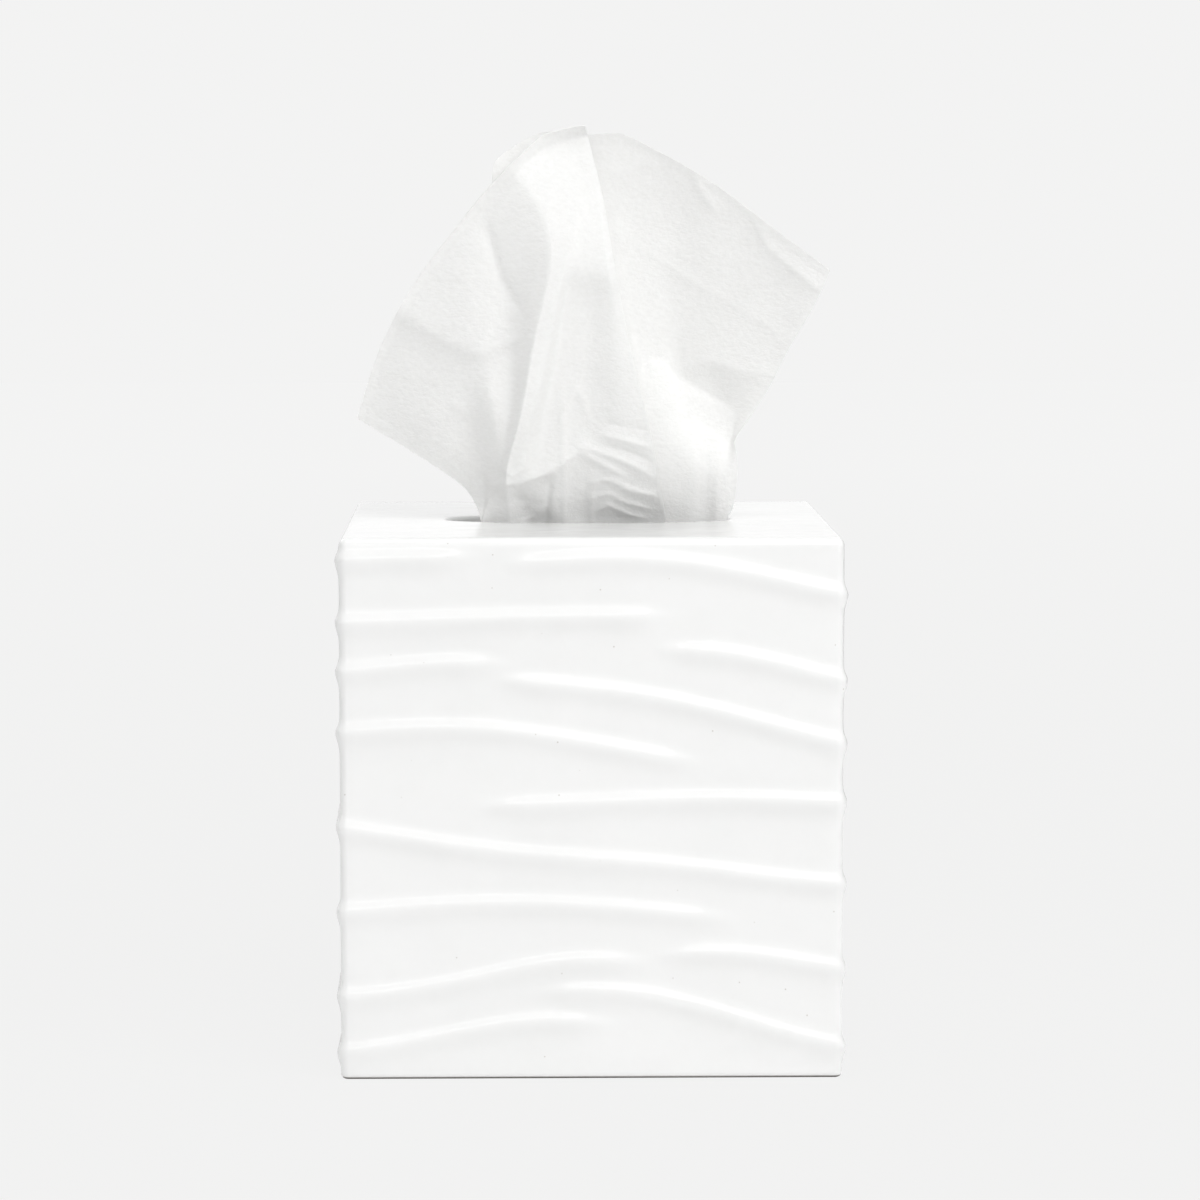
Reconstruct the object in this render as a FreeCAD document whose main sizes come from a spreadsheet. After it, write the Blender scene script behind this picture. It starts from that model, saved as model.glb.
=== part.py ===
import FreeCAD, Part
import math
import os

import Sketcher
from FreeCAD import Placement, Rotation, Vector

# A tissue box holder: a square glazed ceramic cover, cast in one piece and open underneath, that drops
# over a cube-shaped carton of tissues. Raised ripples run across its four walls and on round the upright
# edges. The first tissue comes up through the carton, its slit film and the cover's oval mouth.
#
# Millimetres. +Z is up, the front wall faces -Y and the origin is the middle of the cover's open foot.

UP = Vector(0, 0, 1)

# ---------------------------------------------------------------- driving dimensions

SIZES = {
    "wall": 5.0,                # cast wall of the four sides
    "top_wall": 5.0,
    "side_gap": 6.5,            # between the carton and the cover's walls, on each side
    "head_gap": 8.0,            # between the carton's top and the ceiling
    "upright_radius": 2.0,      # outer upright edges
    "top_radius": 2.0,          # outer edge of the top
    "foot_bevel": 0.8,          # wiped, unglazed edge of the foot
    "cavity_radius": 4.0,       # inner upright edges
    "ceiling_bevel": 2.0,       # where the inner walls meet the ceiling
    "mouth_length": 79.0,       # oval mouth, along X
    "mouth_width": 30.0,
    "mouth_end_radius": 9.0,    # the tighter arcs at the two ends of the oval
    "mouth_lip": 1.2,           # eased edge of the mouth's upper rim
    "ripple_height": 1.1,       # crest of a ripple, proud of the wall
    "ripple_width": 6.8,        # across a ripple, where it meets the wall
    "ripple_root": 0.8,         # how far its flat back sits inside the wall
    "ripple_fade": 15.0,        # length over which a loose end sinks into the wall
    "ripple_stretch": 27.0,     # longest straight stretch of a ripple
    "carton_width": 111.0,
    "carton_height": 132.0,
    "board": 0.5,               # thickness of the carton's board
    "carton_fold_radius": 0.8,
    "glue_flap": 12.0,
    "dust_flap": 10.0,
    "film": 0.15,               # slit film, glued under the carton's top panel
    "film_margin": 2.0,         # between the film's ends and the carton's walls
    "glue_margin": 12.0,        # of the film, in front of and behind the carton's mouth
    "slit_overrun": 3.5,        # how far the slit runs on past each end of the cover's mouth
    "slit_inset": 6.0,          # from the mouth's sides to the slit's, as the raised sheet holds it open
    "slit_end_radius": 5.0,
    "mouth_margin": 1.0,        # from the slit's ends to the ends of the carton's mouth
    "side_margin": 8.0,         # from the sides of the cover's mouth to the sides of the carton's
    "stack_gap": 2.5,           # between the stack and the carton's walls
    "stack_fall": 20.0,         # from the carton's top down to the stack, with its bottom board's thickness
    "stack_fold_radius": 1.5,
    "sheet_thickness": 0.4,     # a two-ply sheet, with the air between its plies
    "leaf_inset": 2.5,          # from the stack's back fold to the edge of the leaf that lies on it
}

# Sizes that follow from the ones above.
DERIVED_SIZES = {
    "cover_width": "=carton_width + 2 * (side_gap + wall)",     # outside, wall to wall, without the ripples
    "cover_height": "=carton_height + head_gap + top_wall",
    "slit_length": "=mouth_length + 2 * slit_overrun",
    "slit_width": "=mouth_width - 2 * slit_inset",
    "carton_mouth_length": "=slit_length + 2 * mouth_margin",
    "carton_mouth_width": "=mouth_width + 2 * side_margin",
    "film_length": "=carton_width - 2 * (board + film_margin)",
    "film_width": "=carton_mouth_width + 2 * glue_margin",
    "stack_width": "=carton_width - 2 * (board + stack_gap)",   # the folded sheet, along X
    "stack_depth": "=carton_width - 2 * (board + stack_gap)",
    "stack_height": "=carton_height - stack_fall",
    "leaf_depth": "=stack_depth / 2 - leaf_inset",  # the half of the sheet that still lies on the stack
}

doc = FreeCAD.newDocument("tissue_box_holder")
sheet = doc.addObject("Spreadsheet::Sheet", "sizes")
for row, (word, value) in enumerate([*SIZES.items(), *DERIVED_SIZES.items()], start=1):
    sheet.set(f"A{row}", word)
    sheet.set(f"B{row}", str(value))
    sheet.setAlias(f"B{row}", word)
doc.recompute()


def size(word):
    """A driving dimension, read back from the sheet."""
    return float(getattr(sheet, word))


# ---------------------------------------------------------------- helpers

START = 9.0         # half a side of a new rectangle, before its dimensions are bound to the sheet
CLOSE = 0.01        # two heights or reaches this near are the same
LONG_EDGE = 20.0    # an edge longer than this, and thinner than THIN_EDGE, is one of the box's own
THIN_EDGE = 1.0


def new_body(name):
    return doc.addObject("PartDesign::Body", name)


def flat_sketch(body, name, height="0"):
    """A sketch on the body's own ground plane, lifted to a height given as an expression."""
    ground = next(p for p in body.Origin.OriginFeatures if p.Role == "XY_Plane")
    sketch = body.newObject("Sketcher::SketchObject", name)
    sketch.AttachmentSupport = [(ground, "")]
    sketch.MapMode = "FlatFace"
    sketch.setExpression("AttachmentOffset.Base.z", height)
    return sketch


def bind(sketch, constraint, expression):
    """Add a dimension to the sketch and bind it to the sheet."""
    index = sketch.addConstraint(constraint)
    sketch.setExpression(f"Constraints[{index}]", expression)


def add_rectangle(sketch, width, depth):
    """A rectangle centred on the sketch's origin."""
    corners = [Vector(x * START, y * START, 0) for x, y in ((-1, -1), (1, -1), (1, 1), (-1, 1))]
    first = sketch.GeometryCount
    for here, there in zip(corners, corners[1:] + corners[:1]):
        sketch.addGeometry(Part.LineSegment(here, there))
    for side in range(4):
        sketch.addConstraint(Sketcher.Constraint("Coincident", first + side, 2, first + (side + 1) % 4, 1))
    for side in range(4):
        direction = "Horizontal" if side % 2 == 0 else "Vertical"
        sketch.addConstraint(Sketcher.Constraint(direction, first + side))
    sketch.addConstraint(Sketcher.Constraint("Symmetric", first, 1, first + 1, 2, -1, 1))
    bind(sketch, Sketcher.Constraint("DistanceX", first, 1, first, 2, 2 * START), width)
    bind(sketch, Sketcher.Constraint("DistanceY", first + 1, 1, first + 1, 2, 2 * START), depth)


def add_oval(sketch, length, width, end_radius):
    """A four-arc oval about the sketch's origin: two tight end arcs and two flat side arcs, all tangent.

    length, width and end_radius are words of the sheet.
    """
    half = size(length) / 2
    rise = size(width) / 2
    tight = size(end_radius)
    flat = (half**2 + rise**2 - 2 * half * tight) / (2 * (rise - tight))
    spread = math.atan2(half - tight, flat - rise)
    first = sketch.GeometryCount
    for quarter, (x, y, radius, reach) in enumerate(
        (
            (half - tight, 0, tight, math.pi / 2 - spread),
            (0, rise - flat, flat, spread),
            (tight - half, 0, tight, math.pi / 2 - spread),
            (0, flat - rise, flat, spread),
        )
    ):
        middle = quarter * math.pi / 2
        circle = Part.Circle(Vector(x, y, 0), UP, radius)
        sketch.addGeometry(Part.ArcOfCircle(circle, middle - reach, middle + reach))
    end_arc, side_arc, other_end, other_side = range(first, first + 4)
    sketch.addConstraint(Sketcher.Constraint("Tangent", end_arc, 2, side_arc, 1))
    for here, there in ((side_arc, other_end), (other_end, other_side), (other_side, end_arc)):
        sketch.addConstraint(Sketcher.Constraint("Coincident", here, 2, there, 1))
    for arc, axis in ((end_arc, -1), (side_arc, -2), (other_side, -2)):
        sketch.addConstraint(Sketcher.Constraint("Symmetric", arc, 1, arc, 2, axis))
    sketch.addConstraint(Sketcher.Constraint("Equal", end_arc, other_end))
    sketch.addConstraint(Sketcher.Constraint("Equal", side_arc, other_side))
    bind(sketch, Sketcher.Constraint("Radius", end_arc, tight), f"sizes.{end_radius}")
    centres = f"sizes.{length} - 2 * sizes.{end_radius}"
    bind(sketch, Sketcher.Constraint("DistanceX", other_end, 3, end_arc, 3, 2 * (half - tight)), centres)
    half_length = f"(sizes.{length} / 2)"
    half_width = f"(sizes.{width} / 2)"
    side_radius = (
        f"({half_length} * {half_length} + {half_width} * {half_width}"
        f" - 2 * {half_length} * sizes.{end_radius}) / (2 * ({half_width} - sizes.{end_radius}))"
    )
    bind(sketch, Sketcher.Constraint("Radius", side_arc, flat), side_radius)


def pad(body, sketch, length, name):
    feature = body.newObject("PartDesign::Pad", name)
    feature.Profile = sketch
    feature.setExpression("Length", length)
    doc.recompute()
    return feature


def pocket(body, sketch, length, name, upward=False):
    """Cut the sketch out of the body, downward or upward, and make sure that it did cut."""
    before = body.Shape.Volume
    feature = body.newObject("PartDesign::Pocket", name)
    feature.Profile = sketch
    feature.Reversed = upward
    feature.setExpression("Length", length)
    doc.recompute()
    if body.Shape.Volume >= before:
        raise RuntimeError(f"{name} cuts nothing")
    return feature


def ease_edges(body, name, kind, reach, wanted):
    """Fillet or chamfer those edges of the body's tip that a test picks."""
    tip = body.Tip
    picked = [f"Edge{n}" for n, edge in enumerate(tip.Shape.Edges, start=1) if wanted(edge.BoundBox)]
    feature = body.newObject(f"PartDesign::{kind}", name)
    feature.Base = (tip, picked)
    feature.setExpression("Radius" if kind == "Fillet" else "Size", reach)
    doc.recompute()
    return feature


def is_upright(box):
    return box.ZLength > LONG_EDGE and max(box.XLength, box.YLength) < THIN_EDGE


def is_level_at(height):
    return lambda box: max(abs(box.ZMin - height), abs(box.ZMax - height)) < CLOSE


# ---------------------------------------------------------------- the cover, before its ripples


def cover_body():
    body = new_body("cover_body")
    outline = flat_sketch(body, "cover_outline")
    add_rectangle(outline, "sizes.cover_width", "sizes.cover_width")
    pad(body, outline, "sizes.cover_height", "cover_block")
    ease_edges(body, "upright_edges", "Fillet", "sizes.upright_radius", is_upright)
    ease_edges(body, "top_edge", "Fillet", "sizes.top_radius", is_level_at(size("cover_height")))
    ease_edges(body, "foot_edge", "Chamfer", "sizes.foot_bevel", is_level_at(0))

    cavity = flat_sketch(body, "cavity_outline")
    inside = "sizes.cover_width - 2 * sizes.wall"
    add_rectangle(cavity, inside, inside)
    pocket(body, cavity, "sizes.cover_height - sizes.top_wall", "cavity", upward=True)
    reach = size("cover_width") / 2 - size("wall") + CLOSE
    ceiling = size("cover_height") - size("top_wall")

    def is_inner_upright(box):
        return is_upright(box) and max(abs(box.XMax), abs(box.XMin)) < reach

    ease_edges(body, "cavity_edges", "Fillet", "sizes.cavity_radius", is_inner_upright)
    ease_edges(body, "ceiling_edges", "Chamfer", "sizes.ceiling_bevel", is_level_at(ceiling))

    mouth = flat_sketch(body, "mouth_outline", "sizes.cover_height")
    add_oval(mouth, "mouth_length", "mouth_width", "mouth_end_radius")
    pocket(body, mouth, "2 * sizes.top_wall", "mouth")  # right through the top wall

    rim_reach = size("mouth_length") / 2 + CLOSE

    def is_mouth_rim(box):
        return is_level_at(size("cover_height"))(box) and max(-box.XMin, box.XMax) < rim_reach

    ease_edges(body, "mouth_rim", "Chamfer", "sizes.mouth_lip", is_mouth_rim)
    return body


# ---------------------------------------------------------------- ripples

# Crest lines over half a turn of the walls. The first number counts walls from the front left edge: 0 to 1
# is the front wall and 1 to 2 the right one. The second is the height as a share of the cover's. A line
# may start before 0 or run on past 2. The other half turn has the same lines.
RIPPLES = {
    "rim_left": [(-0.38, 0.948), (0.0, 0.960), (0.30, 0.966)],
    "rim_right": [(0.30, 0.948), (0.50, 0.962), (0.72, 0.950), (1.0, 0.897), (1.5, 0.858), (2.0, 0.846),
                  (2.32, 0.854), (2.68, 0.857)],
    "short_left": [(-0.46, 0.790), (0.0, 0.756), (0.20, 0.771), (0.36, 0.767)],
    "short_right": [(0.60, 0.796), (0.78, 0.786), (1.0, 0.739), (1.44, 0.712)],
    "belt": [(0.28, 0.742), (0.52, 0.722), (0.76, 0.680), (1.0, 0.623), (1.5, 0.610), (2.0, 0.643),
             (2.27, 0.651), (2.50, 0.622), (2.74, 0.580)],
    "level": [(0.25, 0.506), (0.50, 0.514), (0.78, 0.520), (1.0, 0.513), (1.50, 0.535)],
    "long_slope": [(-0.62, 0.495), (0.0, 0.468), (0.28, 0.428), (0.66, 0.397), (1.0, 0.362), (1.55, 0.392)],
    "low_arch": [(-0.50, 0.290), (0.0, 0.312), (0.32, 0.328), (0.56, 0.318), (0.80, 0.294)],
    "low_belt": [(0.60, 0.224), (0.75, 0.235), (1.0, 0.205), (1.5, 0.200), (2.0, 0.155), (2.28, 0.192),
                 (2.46, 0.221), (2.64, 0.214)],
    "foot_belt": [(0.36, 0.158), (0.54, 0.164), (0.76, 0.122), (1.0, 0.060), (1.5, 0.058), (2.0, 0.051),
                  (2.18, 0.078), (2.38, 0.108), (2.57, 0.100)],
}
EDGE_STEPS = 2      # straight stretches by which a ripple turns each upright edge
STRAIGHT = 0.12     # a corner this near to the straight line between its neighbours is left out


def wall_point(wall, along, outward, height):
    """A point given on one wall, seen from outside, turned to its place round the cover."""
    front = Vector(along, -size("cover_width") / 2 - outward, height)
    return Rotation(UP, 90 * wall).multVec(front)


def without_straight_corners(path):
    """The path with only those corners at which it turns."""
    kept = [path[0]]
    for corner, after in zip(path[1:], path[2:]):
        if corner.distanceToLine(kept[-1], after - kept[-1]) > STRAIGHT:
            kept.append(corner)
    return [*kept, path[-1]]


def ripple_path(crest):
    """The corners of a ripple's crest line, on the wall's surface and sunk below it at the loose ends."""
    width = size("cover_width")
    flat_end = width / 2 - size("upright_radius")
    fade = size("ripple_fade")
    curve = Part.BSplineCurve()
    curve.interpolate([Vector(walls * width, share * size("cover_height"), 0) for walls, share in crest])
    start = crest[0][0] * width
    end = crest[-1][0] * width
    run = size("ripple_root") + size("ripple_height")

    def height_at(distance):
        upright = Part.Line(Vector(distance, 0, 0), Vector(distance, 1, 0))
        return curve.intersectCC(upright)[0].Y

    path = []
    wall = math.floor(crest[0][0])
    while wall * width < end:
        left = max(start, wall * width)
        right = min(end, (wall + 1) * width)
        middle = (wall + 0.5) * width
        lead_in = fade if left == start else size("upright_radius") + run
        lead_out = fade if right == end else size("upright_radius") + run
        stations = [left + lead_in, right - lead_out]
        count = math.ceil((stations[1] - stations[0]) / size("ripple_stretch"))
        if left == start:
            path.append(wall_point(wall, left - middle, -run, height_at(left)))
        else:
            path.append(wall_point(wall, stations[0] - middle, 0, height_at(left)))
        first = 0 if left == start else 1
        last = count + 1 if right == end else count
        for step in range(first, last):
            distance = stations[0] + (stations[1] - stations[0]) * step / count
            path.append(wall_point(wall, distance - middle, 0, height_at(distance)))
        if right == end:
            path.append(wall_point(wall, right - middle, -run, height_at(right)))
        else:
            level = height_at(right)
            path.append(wall_point(wall, stations[1] - middle, 0, level))
            centre = wall_point(wall, flat_end, -size("upright_radius"), level)
            radius = wall_point(wall, flat_end, 0, level) - centre
            for step in range(EDGE_STEPS + 1):
                path.append(centre + Rotation(UP, 90 * step / EDGE_STEPS).multVec(radius))
        wall += 1
    return without_straight_corners(path)


def ripple_section(name, path, outward):
    """The lens across a ripple: an arc over the wall's surface, closed by a straight line inside the wall."""
    height = size("ripple_height")
    half = size("ripple_width") / 2
    root = size("ripple_root")
    radius = (half**2 + height**2) / (2 * height)
    half_root = math.sqrt(radius**2 - (radius - height - root) ** 2)
    reach = math.atan2(half_root, radius - height - root)
    section = doc.addObject("Sketcher::SketchObject", name)
    circle = Part.Circle(Vector(0, height - radius, 0), UP, radius)
    section.addGeometry(Part.ArcOfCircle(circle, math.pi / 2 - reach, math.pi / 2 + reach))
    section.addGeometry(Part.LineSegment(Vector(-half_root, -root, 0), Vector(half_root, -root, 0)))
    section.addConstraint(Sketcher.Constraint("Coincident", 0, 2, 1, 1))
    section.addConstraint(Sketcher.Constraint("Coincident", 0, 1, 1, 2))
    section.addConstraint(Sketcher.Constraint("Horizontal", 1))
    section.addConstraint(Sketcher.Constraint("PointOnObject", 0, 3, -2))
    arc_radius = "(sizes.ripple_width ^ 2 / 4 + sizes.ripple_height ^ 2) / (2 * sizes.ripple_height)"
    bind(section, Sketcher.Constraint("Radius", 0, radius), arc_radius)
    centre_depth = f"{arc_radius} - sizes.ripple_height"
    bind(section, Sketcher.Constraint("DistanceY", 0, 3, -1, 1, radius - height), centre_depth)
    bind(section, Sketcher.Constraint("DistanceY", 1, 1, -1, 1, root), "sizes.ripple_root")
    along = (path[1] - path[0]).normalize()
    outward = (outward - along * outward.dot(along)).normalize()
    section.Placement = Placement(path[0], Rotation(outward.cross(along), outward, along, "ZXY"))
    return section


def ripple(name, crest, half_turn):
    """One ripple, swept along its crest line with mitred joints."""
    turn = Rotation(UP, 180 * half_turn)
    corners = [turn.multVec(corner) for corner in ripple_path(crest)]
    line = doc.addObject("Part::Polygon", f"{name}_crest")
    line.Nodes = corners
    wall = math.floor(crest[0][0]) + 2 * half_turn
    outward = Rotation(UP, 90 * wall).multVec(Vector(0, -1, 0))
    section = ripple_section(f"{name}_section", corners, outward)
    doc.recompute()
    sweep = doc.addObject("Part::Sweep", name)
    sweep.Sections = [section]
    sweep.Spine = (line, [f"Edge{n}" for n in range(1, len(line.Shape.Edges) + 1)])
    sweep.Solid = True
    sweep.Frenet = False
    sweep.Transition = "Right corner"
    return sweep


def holder():
    ripples = []
    for half_turn, side in enumerate(("front", "back")):
        for name, crest in RIPPLES.items():
            ripples.append(ripple(f"{side}_{name}", crest, half_turn))
    cover = doc.addObject("Part::MultiFuse", "holder")
    cover.Shapes = [cover_body()] + ripples
    return cover


# ---------------------------------------------------------------- the carton and its film


def carton():
    """A glued carton: four walls in one strip, a glue flap, folded top and bottom, and an oval cut-out."""
    body = new_body("carton")
    board = "sizes.board"
    width = "sizes.carton_width"
    inside = "sizes.carton_width - 2 * sizes.board"

    walls = flat_sketch(body, "carton_walls")
    add_rectangle(walls, width, width)
    pad(body, walls, "sizes.carton_height", "carton_block")
    ease_edges(body, "carton_folds", "Fillet", "sizes.carton_fold_radius", is_upright)
    hollow = flat_sketch(body, "carton_inside")
    add_rectangle(hollow, inside, inside)
    pocket(body, hollow, "sizes.carton_height", "carton_hollow", upward=True)

    # the bottom is two layers of board: the outer flaps, and over them the inner ones, which leave a seam
    bottom = flat_sketch(body, "carton_bottom_outline")
    add_rectangle(bottom, inside, inside)
    pad(body, bottom, "2 * sizes.board", "carton_bottom")
    seam = flat_sketch(body, "carton_seam_outline", board)
    add_rectangle(seam, inside, board)
    pocket(body, seam, board, "carton_seam")

    top = flat_sketch(body, "carton_top_outline", "sizes.carton_height - sizes.board")
    add_rectangle(top, inside, inside)
    pad(body, top, board, "carton_top")

    # the dust flaps, left and right, folded in under the film, and the glue flap at the back left corner,
    # which lies against the inner face of the back wall
    for name, sign in (("left_dust_flap", -1), ("right_dust_flap", 1)):
        flap = flat_sketch(body, f"{name}_outline", "sizes.carton_height - 2 * sizes.board - sizes.film")
        middle = f"{sign} * (sizes.carton_width / 2 - sizes.board - sizes.dust_flap / 2)"
        flap.setExpression("AttachmentOffset.Base.x", middle)
        add_rectangle(flap, "sizes.dust_flap", inside)
        pad(body, flap, board, name)
    glue = flat_sketch(body, "glue_flap_outline")
    beside_left_wall = "-sizes.carton_width / 2 + sizes.board + sizes.glue_flap / 2"
    glue.setExpression("AttachmentOffset.Base.x", beside_left_wall)
    glue.setExpression("AttachmentOffset.Base.y", "sizes.carton_width / 2 - 1.5 * sizes.board")
    add_rectangle(glue, "sizes.glue_flap", board)
    pad(body, glue, "sizes.carton_height", "glue_flap")

    mouth = flat_sketch(body, "carton_mouth_outline", "sizes.carton_height")
    add_oval(mouth, "carton_mouth_length", "carton_mouth_width", "mouth_end_radius")
    pocket(body, mouth, "4 * sizes.board", "carton_mouth")  # right through the top panel and the dust flaps
    return body


def slit_film():
    body = new_body("slit_film")
    outline = flat_sketch(body, "film_outline", "sizes.carton_height - sizes.board - sizes.film")
    add_rectangle(outline, "sizes.film_length", "sizes.film_width")
    add_oval(outline, "slit_length", "slit_width", "slit_end_radius")
    pad(body, outline, "sizes.film", "film_sheet")
    return body


# ---------------------------------------------------------------- the tissues


def tissue_stack():
    """The folded pack, on the carton's bottom. Its long folds are at the front and the back."""
    body = new_body("tissue_stack")
    outline = flat_sketch(body, "stack_outline", "2 * sizes.board")
    add_rectangle(outline, "sizes.stack_width", "sizes.stack_depth")
    pad(body, outline, "sizes.stack_height", "stack_block")
    folds = size("stack_depth") / 2 - CLOSE

    def is_fold(box):
        return box.XLength > LONG_EDGE and min(abs(box.YMin), abs(box.YMax)) > folds

    ease_edges(body, "stack_folds", "Fillet", "sizes.stack_fold_radius", is_fold)
    return body


# The creases that run up through the raised sheet, from its left side to its right. Each is given where it
# passes the mouth (x and y, as shares of half the mouth's length and width) and then at seven places on its
# way up to the sheet's free edge (x, y and the rise above the cover's top, in millimetres).
CREASES = [
    # left side of the sheet, and its drooping corner
    ((-0.754, -0.400), [(-32.9, -4.6, 7.2), (-37.5, -5.0, 11.5), (-44.5, -5.0, 16.3), (-52.0, -4.0, 20.9),
                       (-55.4, -3.3, 22.9), (-59.2, -2.4, 25.1), (-64.3, -0.5, 28.2)]),
    ((-0.749, -0.400), [(-31.0, -4.6, 9.0), (-34.5, -5.8, 15.5), (-41.0, -7.0, 24.0), (-48.5, -7.0, 32.5),
                       (-51.4, -6.4, 36.2), (-54.3, -5.4, 40.2), (-58.5, -3.8, 46.0)]),
    ((-0.747, -0.400), [(-28.9, -5.4, 11.0), (-31.0, -8.0, 21.0), (-36.0, -9.3, 35.0), (-42.0, -9.3, 49.0),
                       (-44.2, -8.8, 53.9), (-46.2, -7.9, 58.4), (-49.0, -6.3, 64.5)]),
    ((-0.742, -0.400), [(-26.2, -7.2, 12.0), (-25.6, -11.0, 25.0), (-28.5, -11.8, 43.0), (-32.5, -11.2, 61.0),
                       (-34.0, -10.4, 67.3), (-35.3, -9.1, 73.0), (-37.0, -7.0, 80.4)]),
    ((-0.696, -0.333), [(-24.2, -9.8, 12.5), (-22.5, -12.0, 25.0), (-22.0, -12.4, 44.0), (-23.6, -12.0, 61.0),
                       (-24.6, -11.6, 70.0), (-27.0, -9.8, 79.5), (-30.2, -6.6, 89.0)]),
    # a narrow ridge, up to the front of the bright shoulder
    ((-0.557, -0.433), [(-22.6, -12.2, 13.5), (-19.8, -14.2, 25.0), (-16.2, -15.4, 43.0), (-12.2, -16.0, 62),
                       (-10.4, -15.8, 72.0), (-12.6, -12.6, 84.0), (-22.0, -4.4, 98.0)]),
    ((-0.405, -0.427), [(-17.6, -11.8, 14.0), (-14.2, -13.2, 27.0), (-11.0, -14.0, 44.0), (-7.2, -14.8, 63.0),
                       (-5.0, -14.8, 72.6), (-4.0, -10.6, 86.0), (-12.5, -1.6, 106.5)]),
    # a shallow valley
    ((-0.177, -0.440), [(-7.2, -10.8, 15.0), (-6.2, -10.8, 29.0), (-4.6, -10.9, 46.0), (-2.2, -12.4, 64.0),
                       (-1.2, -13.6, 72.2), (-0.6, -9.6, 86.5), (-6.5, -1.2, 108.3)]),
    ((0.025, -0.413), [(1.0, -10.6, 16.5), (2.0, -10.8, 30.0), (2.2, -11.2, 46.5), (2.4, -12.0, 64.5),
                       (2.2, -13.0, 72.0), (1.4, -9.2, 86.5), (-3.4, -1.0, 109.0)]),
    ((0.304, -0.400), [(11.4, -10.8, 16.0), (10.2, -12.2, 29.0), (8.8, -12.6, 45.5), (6.8, -12.8, 64.0),
                       (5.4, -12.9, 72.0), (3.4, -8.6, 87.0), (-1.8, -0.9, 109.2)]),
    # front edge of the wide pleat, under the peak
    ((0.557, -0.300), [(19.2, -9.6, 15.3), (16.9, -11.0, 27.4), (12.6, -11.6, 44.0), (8.6, -11.8, 63.5),
                       (6.9, -11.8, 72.6), (4.4, -7.8, 87.5), (-0.7, -0.8, 109.2)]),
    # its back edge
    ((0.329, 0.000), [(9.5, -2.5, 15.5), (7.0, -3.5, 28.0), (4.0, -4.0, 45.0), (0.0, -4.5, 65.0),
                       (-1.6, -4.4, 75.2), (-3.8, -3.3, 87.2), (-9.0, 0.6, 105.5)]),
    ((0.620, 0.033), [(24.0, 1.5, 16.0), (22.5, 3.0, 30.0), (19.5, 4.0, 48.0), (16.0, 3.6, 69.0),
                       (14.1, 3.7, 78.9), (11.7, 3.6, 90.1), (7.5, 2.0, 107.2)]),
    ((0.734, -0.067), [(29.0, 2.0, 15.5), (28.5, 4.5, 28.0), (27.0, 5.5, 45.0), (25.0, 4.8, 65.0),
                       (24.0, 4.7, 75.0), (22.7, 4.3, 86.1), (20.6, 3.0, 101.7)]),
    ((0.835, 0.100), [(34.0, 3.4, 14.5), (34.6, 5.5, 26.0), (35.4, 6.5, 42.0), (36.0, 5.6, 60.0),
                       (36.1, 5.3, 68.4), (36.0, 4.9, 78.0), (35.5, 3.6, 93.0)]),
    ((0.924, 0.000), [(38.6, 3.4, 12.5), (40.5, 6.0, 22.0), (44.5, 6.6, 36.0), (48.5, 5.6, 51.5),
                       (50.0, 5.2, 59.5), (51.4, 4.5, 68.3), (53.2, 3.0, 79.8)]),
    # right side of the sheet, and its corner
    ((0.982, 0.133), [(42.6, 3.8, 15.2), (41.5, 5.4, 21.6), (48.8, 6.6, 32.6), (55.5, 5.6, 45.5),
                       (58.6, 5.0, 51.1), (62.4, 4.1, 57.7), (67.6, 2.0, 69.2)]),
]
MOUTH_MARK = 0.0            # marks along a crease: at the mouth it is 0, and at the free edge 1
STACK_MARK = -0.34
SLIT_MARK = -0.15
CREASE_MARKS = [0.16, 0.28, 0.46, 0.66, 0.75, 0.85, 1.0]    # where a crease passes its seven places
FOLD_MARKS = [STACK_MARK, SLIT_MARK, MOUTH_MARK, 0.08, 0.16, 0.22, 0.28, 0.37, 0.46, 0.56, 0.66, 0.75, 0.85,
              0.93, 1.0]    # the rows of facets
STACK_SPREAD = 1.25         # width of the gathers down on the stack, in widths at the mouth
STACK_DEPTH = 0.3
SLIT_DEPTH = 0.85
LONGEST_MITRE = 2.5         # at a sharp fold, in half thicknesses
LEAF_MARGIN = 4.0           # how far the flat leaf runs past the line where the sheet rises from it


def crease_points():
    """For each crease, its points on the stack, at the slit, at the mouth and at its seven places."""
    top = size("cover_height")
    slit = size("carton_height") - size("board")
    lowest = 2 * size("board") + size("stack_height") + size("sheet_thickness") / 2
    creases = []
    for (mouth_x, mouth_y), places in CREASES:
        x = mouth_x * size("mouth_length") / 2
        y = mouth_y * size("mouth_width") / 2
        on_stack = Vector(x * STACK_SPREAD, y * STACK_DEPTH, lowest)
        at_slit = Vector(x, y * SLIT_DEPTH, slit)
        above = [Vector(place_x, place_y, top + rise) for place_x, place_y, rise in places]
        creases.append([on_stack, at_slit, Vector(x, y, top), *above])
    return creases


def smooth_through(points, marks, wanted):
    """Points at the wanted marks of the smooth curve that passes the given points at their own marks."""
    curve = Part.BSplineCurve()
    curve.interpolate(Points=points, Parameters=marks)
    return [curve.value(mark) for mark in wanted]


def fold_rows():
    """The sheet's middle surface as rows of points across it, from the stack up to the free edge."""
    marks = [STACK_MARK, SLIT_MARK, MOUTH_MARK, *CREASE_MARKS]
    columns = [smooth_through(points, marks, FOLD_MARKS) for points in crease_points()]
    return [list(row) for row in zip(*columns)]


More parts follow.
